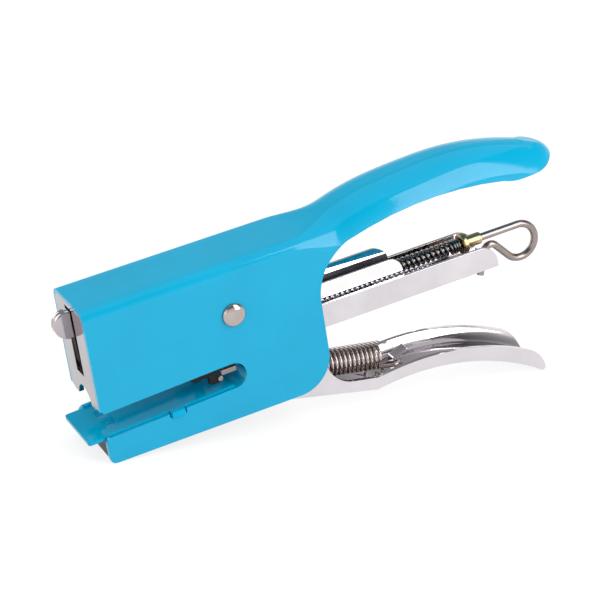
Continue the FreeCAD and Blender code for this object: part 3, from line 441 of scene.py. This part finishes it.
def foldAt(x):
    share = min(max((x - shell["headEnd"]) / (blendX - shell["headEnd"]), 0), 1)
    share = share * share * (3 - 2 * share)
    end = min(max((x - endX) / shell["endRadius"], 0), 1) ** 2
    widened = shell["fold"] + (shell["gripFold"] - shell["fold"]) * share
    return widened - (shell["gripFold"] - shell["tipFold"]) * end


def planStations():
    # points along the near side from the nose to the tip, each with its inward normal
    stations = []
    x = 0.0
    while x < endX - 0.4:
        if x < blendX:
            stations.append((x, -shell["half"], 0, 1))
        else:
            centreY = sweep - shell["half"]
            angle = asin((x - blendX) / sweep)
            stations.append((x, centreY - sweep * cos(angle), -sin(angle), cos(angle)))
        x += shellSteps["head" if x < shell["headEnd"] - 3 else "bend" if x < blendX else "grip"]
    radius = shell["endRadius"]
    for step in range(shellSteps["tipParts"] + 1):
        angle = radians(90 * step / shellSteps["tipParts"])
        stations.append((endX + radius * sin(angle), -radius * cos(angle), -sin(angle), cos(angle)))
    return stations


def buildShell():
    stations = planStations()
    foldSteps, crossSteps = shell["foldSteps"], shell["crossSteps"]
    rows = 2 + foldSteps + crossSteps
    across = 2 * rows - 1
    bpy.ops.object.select_all(action="DESELECT")
    bpy.ops.mesh.primitive_grid_add(x_subdivisions=len(stations) - 1, y_subdivisions=across - 1, size=1)
    piece = bpy.context.object
    piece.name = "bodyShell"
    for vertex in piece.data.vertices:
        column = vertex.index % len(stations)
        row = vertex.index // len(stations)
        near = row < rows
        place = row if near else across - 1 - row
        x, y, nx, ny = stations[column]
        fold = foldAt(x)
        if place == 0:
            spot = (x, y, shell["floor"])
        elif place <= foldSteps + 1:
            angle = (place - 1) / foldSteps * pi / 2
            inward = fold * (1 - cos(angle))
            px = x + nx * inward
            spot = (px, y + ny * inward, topLine(px) - fold * (1 - sin(angle)))
        else:
            px, py = x + nx * fold, y + ny * fold
            share = (place - foldSteps - 1) / crossSteps
            spot = (px, py * (1 - share), topLine(px))
        vertex.co = (spot[0], spot[1] if near else -spot[1], spot[2])
    weld(piece, 0.002)
    bpy.ops.object.mode_set(mode="EDIT")
    bpy.ops.mesh.select_all(action="SELECT")
    bpy.ops.mesh.normals_make_consistent(inside=False)
    bpy.ops.object.mode_set(mode="OBJECT")
    wall = piece.modifiers.new("wall", "SOLIDIFY")
    wall.thickness = shell["wall"]
    wall.offset = -1
    wall.use_even_offset = True
    bpy.ops.object.modifier_apply(modifier=wall.name)
    side = slab("shellSide", shellSide, 20, stepDegrees=4)
    combine(piece, side, "INTERSECT")
    return piece


bodyShell = softenEdges(buildShell(), shell["edge"], 2, 50)
finish(bodyShell, "body", "body_shell", bakedBlueEnamel, 40)
print("stage: body shell", len(bodyShell.data.polygons))


# Squeeze lever: a folded channel, two arms, and a tongue that ends in the round nose tab.

lever = {"half": 7.3, "sheet": 1.0, "bendOutside": 1.5, "bendInside": 3.4, "kneeX": 66.2, "kneeZ": -19.9,
         "channelX": 42.4, "channelZ": -13.8, "endX": 109.1, "endZ": -30.6, "arch": 58.0, "floorStart": 47.0,
         "lip": 3.6, "armFront": 38.2, "armRear": 53.6, "boss": 6.0, "windowX": 45.82, "windowZ": -3.4,
         "window": 4.5, "edge": 0.16, "tongueEdge": 0.32, "tabEnd": 12.0, "stepDegrees": 2.5}
# The tongue from the side, and from above its two layers, together at the nose and parting to the arms.
tongueSide = [(-0.5, 22.15, 3.15), (-3.65, 19.0, 3.15), (-0.5, 15.85), (3.5, 15.85), (12, 13.5), (27, 9.8),
              (34.1, 7.6), (34.1, 17.6), (26.1, 20.2)]
tonguePlan = [(-6, -1.4), (12.5, -1.4), (27, -7.3), (34.1, -7.3), (34.1, -6.3), (27.4, -6.3), (12.9, -0.02),
              (-6, -0.02), (-6, 0.02), (12.9, 0.02), (27.4, 6.3), (34.1, 6.3), (34.1, 7.3), (27, 7.3),
              (12.5, 1.4), (-6, 1.4)]


def channelLine(x, above=0.0):
    slope = (lever["kneeZ"] - lever["channelZ"]) / (lever["kneeX"] - lever["channelX"])
    return lever["channelZ"] + slope * (x - lever["channelX"]) + above


def onLine(corners):
    # picks the edges that run along this line; the steps have to be those that the slab was drawn with
    path = walk(corners, closed=False, stepDegrees=lever["stepDegrees"])
    spots = {(round(x, 2), round(z, 2)) for x, z in path}
    return lambda a, b: (abs(a.y - b.y) < 0.01 and (round(a.x, 2), round(a.z, 2)) in spots
                         and (round(b.x, 2), round(b.z, 2)) in spots)


def roundEdges(piece, chosen, radius, segments=5):
    selectEdges(piece, chosen)
    bpy.ops.mesh.bevel(offset=radius, segments=segments, affect="EDGES")
    bpy.ops.object.mode_set(mode="OBJECT")
    return piece


def buildLever():
    lip = channelLine(lever["kneeX"], lever["lip"])
    armFront, armRear = lever["armFront"], lever["armRear"]
    underside = [(armFront, channelLine(armFront)), (lever["kneeX"], lever["kneeZ"], -lever["arch"]),
                 (lever["endX"], lever["endZ"])]
    outer = slab("leverHandle", [
        (29.3, 9.0), (armFront, -2)] + underside + [
        (lever["endX"] + 0.5, lever["endZ"] + 1.4, 7),
        (lever["endX"] - 3.2, lever["endZ"] + 7.1, lever["arch"] + 2), (lever["kneeX"] + 4.5, lip + 0.4),
        (lever["kneeX"] + 0.6, lip), (lever["kneeX"] - 5.7, lip + 1.3, -7.5), (armRear + 0.9, -7),
        (armRear, -3), (armRear, 3.5), (46, 12), (38.3, 16.8)], lever["half"],
        stepDegrees=lever["stepDegrees"])
    roundEdges(outer, onLine(underside), lever["bendOutside"])
    sheet = lever["sheet"]
    floorTop = [(lever["floorStart"], channelLine(lever["floorStart"], sheet)),
                (lever["kneeX"], lever["kneeZ"] + sheet, -lever["arch"] - sheet),
                (lever["endX"] + 0.6, lever["endZ"] + sheet)]
    space = slab("leverSpace", [(lever["floorStart"], -60)] + floorTop + [
        (lever["endX"] + 8, lever["endZ"] + sheet), (lever["endX"] + 8, 40), (-20, 40), (-20, -60)],
        lever["half"] - sheet, stepDegrees=lever["stepDegrees"])
    roundEdges(space, onLine(floorTop), lever["bendInside"], 8)
    boss = peg("boss", pivotHead["x"], pivotHead["z"], lever["boss"], lever["half"], 64)
    combine(outer, boss, "UNION")
    combine(outer, space)
    side = slab("tongueSide", tongueSide, 9, stepDegrees=5)
    plan = slab("tonguePlan", tonguePlan, 0, plan=True)
    combine(side, plan, "INTERSECT")
    softenEdges(side, lever["tongueEdge"], 3, 40)
    combine(outer, peg("pinWindows", lever["windowX"], lever["windowZ"], lever["window"], 9))
    softenEdges(outer, lever["edge"], 2, 35)
    return outer, side


# the lug that the return spring's rear eye hooks on
lug = {"face": 74.31, "thick": 1.0, "half": 1.6, "foot": -19.2, "level": -17.35, "edge": 0.36}


def buildLug():
    face, level = lug["face"], lug["level"]
    piece = slab("springLug", [
        (face - lug["thick"], lug["foot"]), (face, lug["foot"]), (face, level + 0.6),
        (face + 3.4, level + 1.9), (face + 2.9, level + 2.7),
        (face - lug["thick"], level + 1.2)], lug["half"])
    return softenEdges(piece, lug["edge"], 4)


leverOuter, leverTongue = buildLever()
leverHandle = merge("leverHandle", leverOuter, leverTongue, buildLug())
finish(leverHandle, "lever", "lever_handle", brightChrome, 40)
leverHandle.data.materials.append(dimReflectionChrome)   # the nose tab gets the greyer chrome: a painted duller reflection than the handle's
for face in leverHandle.data.polygons:
    if (standToHead @ face.center).x < lever["tabEnd"]:
        face.material_index = 1
print("stage: lever", len(leverHandle.data.polygons))


# Springs and wire.

def spring(name, x, z, fall, length, meanRadius, wireRadius, pitch, steps, sides=12):
    # a ring of wire is wound up a screw line, then laid along x
    bpy.ops.object.select_all(action="DESELECT")
    bpy.ops.mesh.primitive_circle_add(vertices=sides, radius=wireRadius, fill_type="NOTHING",
                                      location=(meanRadius, 0, 0), rotation=(pi / 2, 0, 0))
    piece = bpy.context.object
    piece.name = name
    bpy.ops.object.transform_apply(location=True, rotation=True, scale=True)
    turns = length / pitch
    screw = piece.modifiers.new("wound", "SCREW")
    screw.axis = "Z"
    screw.angle = 2 * pi * turns
    screw.screw_offset = length
    screw.iterations = 1
    screw.steps = screw.render_steps = round(steps * turns)
    screw.use_normal_calculate = True
    bpy.ops.object.modifier_apply(modifier=screw.name)
    bpy.ops.object.mode_set(mode="EDIT")
    bpy.ops.mesh.select_all(action="SELECT")
    bpy.ops.mesh.fill_holes(sides=sides + 2)
    bpy.ops.mesh.normals_make_consistent(inside=False)
    bpy.ops.object.mode_set(mode="OBJECT")
    piece.data.transform(Matrix.Translation((x, 0, z)) @ Matrix.Rotation(radians(90 - fall), 4, "Y"))
    return piece


def wire(name, points, radius, sides=8, smooth=False):
    # points are a route in space; the end faces are closed
    data = bpy.data.curves.new(name, "CURVE")
    data.dimensions = "3D"
    data.bevel_depth = radius
    data.bevel_resolution = sides
    data.use_fill_caps = True
    line = data.splines.new("NURBS" if smooth else "POLY")
    line.points.add(len(points) - 1)
    for point, spot in zip(line.points, points):
        point.co = (spot[0], spot[1], spot[2], 1)
    if smooth:
        line.order_u = 4
        line.use_endpoint_u = True
        line.resolution_u = 8
    route = bpy.data.objects.new(name, data)
    bpy.context.scene.collection.objects.link(route)
    activate(route)
    bpy.ops.object.convert(target="MESH")
    piece = bpy.context.object
    weld(piece, 0.0005)
    return piece


returnSpring = {"frontX": 41.3, "frontZ": -8.8, "rearX": 70.4, "rearZ": -14.7, "mean": 2.87, "wire": 0.46,
                "pitch": 1.12, "freeX": 51.0, "freeZ": -10.8, "eye": 2.45, "reach": 2.2, "lead": 1.1,
                "tail": 1.6}


def buildReturnSpring():
    size = returnSpring
    run, drop = size["rearX"] - size["frontX"], size["rearZ"] - size["frontZ"]
    fall = degrees(atan2(drop, run))
    alongX, alongZ = cos(radians(fall)), sin(radians(fall))
    coil = spring("returnSpring", size["frontX"], size["frontZ"], fall, hypot(run, drop), size["mean"],
                  size["wire"], size["pitch"], steps=36)
    # the front eye is half a turn that stands across the coil's end
    centreX, centreZ = size["frontX"] - size["reach"] * alongX, size["frontZ"] - size["reach"] * alongZ
    front = []
    for reach in (size["reach"], size["lead"]):
        front.append((centreX + reach * alongX, -size["mean"], centreZ + reach * alongZ))
    for step in range(0, 19):
        angle = pi * step / 18
        back = -size["mean"] * sin(angle)
        front.append((centreX + back * alongX, -size["mean"] * cos(angle), centreZ + back * alongZ))
    front.append((centreX + size["tail"] * alongX, size["mean"], centreZ + size["tail"] * alongZ))
    hookFront = wire("frontEye", front, size["wire"])
    # the wire leaves the last turn low down and closes into a flat eye behind it
    eyeX, eyeZ = size["rearX"] + size["eye"] + 0.4, size["rearZ"] - size["mean"] + 0.2
    back = [(size["rearX"] - 0.6, -size["mean"] * 0.5, size["rearZ"] - size["mean"] * 0.84),
            (size["rearX"] + 0.1, -size["mean"] * 0.62, eyeZ + 0.35),
            (size["rearX"] + 0.9, -size["mean"] * 0.7, eyeZ + 0.1)]
    for step in range(0, 27):
        angle = radians(-115 + 300 * step / 26)
        back.append((eyeX + size["eye"] * cos(angle), size["eye"] * sin(angle), eyeZ))
    hookBack = wire("rearEye", back, size["wire"], smooth=True)
    return merge("returnSpring", coil, hookFront, hookBack)


returnPiece = finish(buildReturnSpring(), None, "return_spring", coiledWire, 50)
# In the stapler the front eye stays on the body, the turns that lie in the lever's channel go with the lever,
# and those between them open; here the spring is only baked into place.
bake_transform(returnPiece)

pusherSpring = {"startX": 37.0, "endX": 94.5, "z": 5.5, "mean": 1.45, "wire": 0.3, "pitch": 1.28,
                "touching": 1.02, "gap": 0.35, "frontTurns": 2, "rearTurns": 3}


def buildPusherSpring():
    size = pusherSpring
    closed = 2 * size["wire"] * size["touching"]
    # a run of touching turns at each end, and open ones between them
    lengths = [(size["startX"] + size["wire"] + size["gap"], closed * size["frontTurns"], closed)]
    start = lengths[0][0] + lengths[0][1]
    stop = size["endX"] - closed * size["rearTurns"]
    lengths += [(start, stop - start, size["pitch"]), (stop, closed * size["rearTurns"] - 0.1, closed)]
    coils = []
    for number, (x, length, pitch) in enumerate(lengths):
        coils.append(spring(f"coil{number}", x, size["z"], 0, length, size["mean"], size["wire"], pitch,
                            steps=28, sides=10))
    return merge("pusherSpring", *coils)


pusherPiece = finish(buildPusherSpring(), None, "pusher_spring", blackWire, 50)
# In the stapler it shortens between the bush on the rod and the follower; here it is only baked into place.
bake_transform(pusherPiece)

pullRod = {"wire": 0.9, "z": 5.5, "startX": 60.0, "loopX": 110.3, "loop": 4.2, "run": 4.78, "latch": 1.8,
           "foot": -3.8, "wrap": 50, "lean": 18, "edge": 0.25}


def buildRod():
    size = pullRod
    # back along the magazine, round the finger loop, forward and up, and down into the latch
    wrap, lean = radians(size["wrap"]), radians(size["lean"])
    loopZ = size["z"] - size["loop"]
    riseX, riseStart = size["loopX"] - size["loop"] * sin(wrap), loopZ - size["loop"] * cos(wrap)
    latchX, latchZ = riseX - size["run"] * cos(wrap), riseStart + size["run"] * sin(wrap)
    middleX, middleZ = latchX - size["latch"] * sin(wrap), latchZ - size["latch"] * cos(wrap)
    footX, footZ = middleX - size["latch"] * cos(lean), middleZ + size["latch"] * sin(lean)
    route = walk([(size["startX"], size["z"]), (size["loopX"], size["z"], -size["loop"]),
                  (size["loopX"] + size["loop"], loopZ, -size["loop"]), (riseX, riseStart),
                  (latchX, latchZ, size["latch"]), (footX, footZ),
                  (footX + (size["foot"] - footZ) * tan(lean), size["foot"])], closed=False, stepDegrees=5)
    rod = wire("pullRod", [(x, 0, z) for x, z in route], size["wire"], sides=10)
    return softenEdges(rod, size["edge"], 3, 60)


finish(buildRod(), "rod", "pusher_rod", nickelWire, 50)
print("stage: springs and rod")


# Turned pieces.

def turned(name, profile, segments=56):
    # profile is (distance along, radius); it is spun round the x axis
    bpy.ops.object.select_all(action="DESELECT")
    bpy.ops.mesh.primitive_circle_add(vertices=len(profile), fill_type="NOTHING")
    piece = bpy.context.object
    piece.name = name
    for vertex, (along, radius) in zip(piece.data.vertices, profile):
        vertex.co = (along, 0, radius)
    activate(piece)
    bpy.ops.object.mode_set(mode="EDIT")
    bpy.ops.mesh.select_all(action="SELECT")
    bpy.ops.mesh.spin(steps=segments, angle=2 * pi, center=(0, 0, 0), axis=(1, 0, 0), use_auto_merge=True)
    bpy.ops.mesh.select_all(action="SELECT")
    bpy.ops.mesh.remove_doubles(threshold=0.0005)
    bpy.ops.mesh.normals_make_consistent(inside=False)
    bpy.ops.object.mode_set(mode="OBJECT")
    return piece


bush = {"x": 94.9, "z": 5.5, "flange": 2.55, "tube": 1.45, "flangeThick": 1.5, "length": 5.5, "bore": 0.9}


def buildBush():
    x, flange, tube, bore = bush["x"], bush["flange"], bush["tube"], bush["bore"]
    thick, end = bush["flangeThick"], bush["x"] + bush["length"]
    piece = turned("rodBush", [
        (x, bore), (x, flange - 0.35), (x + 0.15, flange - 0.08), (x + 0.4, flange),
        (x + thick - 0.4, flange), (x + thick - 0.12, flange - 0.1), (x + thick, flange - 0.4),
        (x + thick + 0.05, tube + 0.25), (x + thick + 0.3, tube), (end - 0.5, tube),
        (end - 0.15, tube - 0.1), (end, tube - 0.4), (end - 0.2, bore + 0.3), (end - 0.3, bore)])
    return softenEdges(piece, 0.03, 1, 60)


bushPiece = buildBush()
bushPiece.data.transform(Matrix.Translation((0, 0, bush["z"])))
finish(bushPiece, "rod", "rod_bush", turnedBrass, 40)

rivet = {"head": 2.7, "dome": 1.25, "lip": 0.28, "shank": 2.0, "half": 9.5}


def buildRivet():
    profile = [(-rivet["half"] - rivet["dome"], 0.02)]
    for step in range(1, 9):
        angle = radians(90 * step / 8)
        out = rivet["lip"] + (rivet["dome"] - rivet["lip"]) * cos(angle)
        profile.append((-rivet["half"] - out, rivet["head"] * sin(angle)))
    profile += [(-rivet["half"], rivet["head"]), (-rivet["half"], rivet["shank"])]
    profile += [(-along, radius) for along, radius in reversed(profile)]
    piece = turned("mainRivet", profile)
    place = Matrix.Translation((pivotHead["x"], 0, pivotHead["z"]))
    piece.data.transform(place @ Matrix.Rotation(pi / 2, 4, "Z"))
    return softenEdges(piece, 0.08, 2, 50)


finish(buildRivet(), "body", "main_rivet", coiledWire, 40)
print("stage: turned pieces")


# Staples: one wire staple repeated along the strip.

staples = {"firstX": 3.2, "wire": 0.5, "count": 48, "half": 4.9, "crownTop": 5.2, "legBottom": 0.9,
           "corner": 0.35, "edge": 0.09}


def buildStaples():
    size = staples
    thick, half, corner = size["wire"], size["half"], size["corner"]
    top, bottom = size["crownTop"], size["legBottom"]
    single = slab("staple", [
        (-half, bottom), (thick - half, bottom), (thick - half, top - thick), (half - thick, top - thick),
        (half - thick, bottom), (half, bottom), (half, top - corner, corner), (half - corner, top),
        (corner - half, top, corner), (-half, top - corner)], thick / 2, stepDegrees=30)
    single.data.transform(Matrix.Rotation(pi / 2, 4, "Z"))
    softenEdges(single, size["edge"], 1, 40)
    row = []
    for number in range(size["count"]):
        copy = single.copy()
        copy.data = single.data.copy()
        bpy.context.scene.collection.objects.link(copy)
        copy.data.transform(Matrix.Translation((size["firstX"] + thick * (number + 0.5), 0, 0)))
        row.append(copy)
    bpy.data.objects.remove(single)
    return merge("stapleStrip", *row)


finish(buildStaples(), "magazine", "staple_strip", drawnWire, 40)
print("stage: staples")


# Sheet and moulded pieces taken over from the frame: piece, node, body, material, slot, and edge rounding.

sheetPieces = [
    # the anvil plate's low-shine enamel is painted shade under the head
    ("anvilPlate", "anvil_plate", "body", throatShadeEnamel, "blue_enamel", 0.14),
    ("basePad", "base_pad", "body", blackPlastic, "black_plastic", 0.25),
    ("frontFrame", "front_frame", "body", brushedNickel, "zinc_steel", 0.2),
    ("paperStops", "paper_stops", "body", blackPlastic, "black_plastic", 0.2),
    ("pivotSleeve", "pivot_sleeve", "body", groundSteel, "bare_steel", 0.08),
    ("magazinePin", "magazine_pin", "body", groundSteel, "bare_steel", 0.15),
    ("tongueRivets", "tongue_rivets", "lever", brightChrome, "bright_chrome", 0.12),
    ("clampSpring", "clamp_spring", "lever", blackWire, "black_oxide", 0.06),
    ("clampRivet", "clamp_rivet", "lever", groundSteel, "bare_steel", 0.12),
    ("magazineChannel", "magazine_channel", "magazine", nickelSheet, "zinc_steel", 0.08),
    # the cover's near-white nickel is a painted bright reflection
    ("magazineCover", "magazine_cover", "magazine", brightReflectionNickel, "zinc_steel", 0.1),
    ("driverBlade", "driver_blade", "driver", groundSteel, "bare_steel", 0.08),
    ("staplePusher", "staple_pusher", "pusher", nickelSheet, "zinc_steel", 0.15),
    ("rodClip", "rod_clip", "rod", groundSteel, "bare_steel", 0.1),
]
# the nose leans back by this much at its top, and the front plate's face with it
nose = {"lean": 0.55, "plate": 0.3}


def leanFront(piece):
    slope = nose["lean"] / shell["top"]
    for vertex in piece.data.vertices:
        if vertex.co.x < nose["plate"]:
            vertex.co.x += slope * max(vertex.co.z, 0)
    return piece


# the anvil plate's hooks, bent over the side walls and a little proud of them
hook = {"x": 17.3, "half": 1.55, "out": 10.05, "in": 8.9, "top": -5.05, "low": -6.75, "edge": 0.28}


def addHooks(piece):
    for side in (-1, 1):
        across = sorted((side * hook["in"], side * hook["out"]))
        tab = block("hookTab", (hook["x"] - hook["half"], hook["x"] + hook["half"]), across,
                    (hook["low"], hook["top"]))
        piece = merge(piece.name, piece, softenEdges(tab, hook["edge"], 3, 40))
    return piece


# the cover's far upper edge leans outwards and ends a little lower; inside, the sheet is painted a darker grey
# as shade
flare = {"from": 8.0, "slope": 1.05, "squash": 0.76, "startX": 47.0, "endX": 50.0, "inside": 3.7}


def flareEdges(piece):
    activate(piece)
    bpy.ops.object.mode_set(mode="EDIT")
    bpy.ops.mesh.select_all(action="SELECT")
    bpy.ops.mesh.bisect(plane_co=(0, 0, flare["from"]), plane_no=(0, 0, 1))
    for cut in (flare["startX"], flare["endX"]):
        bpy.ops.mesh.select_all(action="SELECT")
        bpy.ops.mesh.bisect(plane_co=(cut, 0, 0), plane_no=(1, 0, 0))
    bpy.ops.object.mode_set(mode="OBJECT")
    for vertex in piece.data.vertices:
        share = min(max((vertex.co.x - flare["startX"]) / (flare["endX"] - flare["startX"]), 0), 1)
        above = max(vertex.co.z - flare["from"], 0) * share
        if vertex.co.y > 0:
            vertex.co.y += above * flare["squash"] * flare["slope"]
            vertex.co.z -= above * (1 - flare["squash"])
    return piece


# faces inside the cover's channel, up to just above where the flare starts, get the darker nickel: painted
# shade
def paintInsideShade(piece):
    piece.data.materials.append(shadedInsideNickel)
    for face in piece.data.polygons:
        middle = standToHead @ face.center
        if abs(middle.y) < flare["inside"] and middle.z < flare["from"] + 0.2:
            face.material_index = 1


# in the stapler the leaf spring gives from its rivet as the lever presses the magazine down; here it only gets
# a mesh of its own
reshape = {"frontFrame": leanFront, "anvilPlate": addHooks, "magazineCover": flareEdges}
for name, node, body, material, slotName, width in sheetPieces:
    sheetPiece = fromNode(name, node, width)
    if name in reshape:
        sheetPiece = reshape[name](sheetPiece)
    finish(sheetPiece, body, node, material)
    if name == "magazineCover":
        paintInsideShade(sheetPiece)
    if name == "clampSpring":
        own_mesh(sheetPiece)


# the steel clip that carries the paper stops, with its rivet's end, behind the stops on both sides
stopClip = {"x": (29.4, 33.2), "in": 6.5, "out": 7.5, "z": (-1.9, -0.6), "rivetX": 28.9, "rivetZ": -2.2,
            "rivet": 0.62, "rivetHalf": 0.3, "rivetOut": 7.7}


def buildStopBracket():
    bracket = None
    for side in (-1, 1):
        across = sorted((side * stopClip["in"], side * stopClip["out"]))
        strip = softenEdges(block("stopStrip", stopClip["x"], across, stopClip["z"]), 0.2, 2)
        head = peg("stopRivet", stopClip["rivetX"], stopClip["rivetZ"], stopClip["rivet"],
                   stopClip["rivetHalf"], 24)
        head.data.transform(Matrix.Translation((0, side * stopClip["rivetOut"], 0)))
        softenEdges(head, 0.15, 2)
        bracket = merge("stopBracket", *([bracket] if bracket else []), strip, head)
    return bracket


finish(buildStopBracket(), "body", None, nickelWire)
print("stage: sheet pieces")


# Floor and light, in metres and watts.

studio = {"room": 0.72, "floorSize": 6, "paper": 0.82, "paperRough": 0.7, "floorWhite": 0.7,
          "floorGlow": 1.16,
          "skyStops": [(0.0, 1.0), (0.18, 1.0), (0.34, 0.5), (0.5, 0.34), (0.75, 0.1), (1.0, 0.06)],
          "lamps": [("topSheet", (0.05, 0.15, 1.0), (0, 0, 0.02), (1.4, 1.4), 3.1),
                    ("rightSoftbox", (0.36, -0.57, 0.4), (0.03, 0, 0.03), (0.36, 0.72), 3.3),
                    ("backFill", (-0.45, 0.7, 0.3), (0, 0, 0.03), (0.45, 0.5), 1.0),
                    ("leftFill", (-0.75, -0.45, 0.3), (0, 0, 0.03), (0.5, 0.6), 0.8)]}


def seenWhite(tree):
    # 1 for what the camera, a mirror or a lens sees, 0 for the light that the object itself receives
    path = addNode(tree, "ShaderNodeLightPath")
    seen = addNode(tree, "ShaderNodeMath", {"operation": "MAXIMUM"},
                   {0: path.outputs["Is Camera Ray"], 1: path.outputs["Is Glossy Ray"]})
    return addNode(tree, "ShaderNodeMath", {"operation": "MAXIMUM"},
                   {0: seen.outputs["Value"], 1: path.outputs["Is Transmission Ray"]}).outputs["Value"]


def makeFloor():
    bpy.ops.object.select_all(action="DESELECT")
    bpy.ops.mesh.primitive_plane_add(size=studio["floorSize"], location=(0, 0, 0))
    floor = bpy.context.object
    floor.name = "studioFloor"
    material = bpy.data.materials.new("paleStudioPaper")
    material.use_nodes = True
    tree = material.node_tree
    paper = tree.nodes["Principled BSDF"]
    paper.inputs["Base Color"].default_value = grey(studio["paper"])
    paper.inputs["Roughness"].default_value = studio["paperRough"]
    glow = addNode(tree, "ShaderNodeEmission", {"Color": grey(1), "Strength": studio["floorGlow"]})
    share = addNode(tree, "ShaderNodeMath", {"operation": "MULTIPLY", 1: studio["floorWhite"]},
                    {0: seenWhite(tree)})
    mixed = addNode(tree, "ShaderNodeMixShader", links={0: share.outputs["Value"], 1: paper.outputs["BSDF"],
                                                        2: glow.outputs["Emission"]})
    tree.links.new(mixed.outputs["Shader"], tree.nodes["Material Output"].inputs["Surface"])
    floor.data.materials.append(material)


def makeWorld():
    # the room lights evenly, and what mirrors see of it is white low down and dim overhead
    world = bpy.data.worlds.new("studioRoom")
    bpy.context.scene.world = world
    world.use_nodes = True
    tree = world.node_tree
    tree.nodes.clear()
    coords = addNode(tree, "ShaderNodeTexCoord")
    split = addNode(tree, "ShaderNodeSeparateXYZ", links={"Vector": coords.outputs["Generated"]})
    sky = ramp(tree, split.outputs["Z"], [(height, grey(level)) for height, level in studio["skyStops"]])
    room = addNode(tree, "ShaderNodeBackground", {"Color": grey(1), "Strength": studio["room"]})
    white = addNode(tree, "ShaderNodeBackground", {"Strength": 1.0}, {"Color": sky})
    mixed = addNode(tree, "ShaderNodeMixShader", links={0: seenWhite(tree), 1: room.outputs["Background"],
                                                        2: white.outputs["Background"]})
    addNode(tree, "ShaderNodeOutputWorld", links={"Surface": mixed.outputs["Shader"]})


def makeLamp(name, place, aim, size, power):
    light = bpy.data.lights.new(name, "AREA")
    light.shape = "RECTANGLE"
    light.size, light.size_y = size
    light.energy = power
    lamp = bpy.data.objects.new(name, light)
    bpy.context.scene.collection.objects.link(lamp)
    lamp.location = place
    lamp.rotation_euler = (Vector(aim) - Vector(place)).to_track_quat("-Z", "Y").to_euler()


makeFloor()
makeWorld()
for lampName, place, aim, size, power in studio["lamps"]:
    makeLamp(lampName, place, aim, size, power)

# The camera looks from this azimuth and elevation with a long lens: millimetres and degrees.
viewer = {"azimuth": -24.79, "elevation": 22.325, "distance": 490.066, "acrossAim": 47.047, "upAim": 21.761,
          "focal": 133.86, "sensor": 36, "lean": 0.223}


def makeCamera():
    turn, lift = radians(viewer["azimuth"]), radians(viewer["elevation"])
    right = Vector((cos(turn), sin(turn), 0))
    back = Vector((sin(turn) * cos(lift), -cos(turn) * cos(lift), sin(lift)))
    up = back.cross(right)
    data = bpy.data.cameras.new("viewCamera")
    data.lens = viewer["focal"]
    data.sensor_width = viewer["sensor"]
    data.clip_start = 0.01
    camera = bpy.data.objects.new("viewCamera", data)
    bpy.context.scene.collection.objects.link(camera)
    away = (right * viewer["acrossAim"] + up * viewer["upAim"] + back * viewer["distance"]) * 0.001
    lean = Matrix.Rotation(radians(viewer["lean"]), 4, "Y")
    pose = Matrix(((right.x, up.x, back.x, away.x), (right.y, up.y, back.y, away.y),
                   (right.z, up.z, back.z, away.z), (0, 0, 0, 1)))
    camera.matrix_world = Matrix.Translation(headOrigin) @ lean @ pose
    bpy.context.scene.camera = camera


makeCamera()
bpy.context.scene.view_settings.view_transform = "Standard"
print("stage: scene ready")
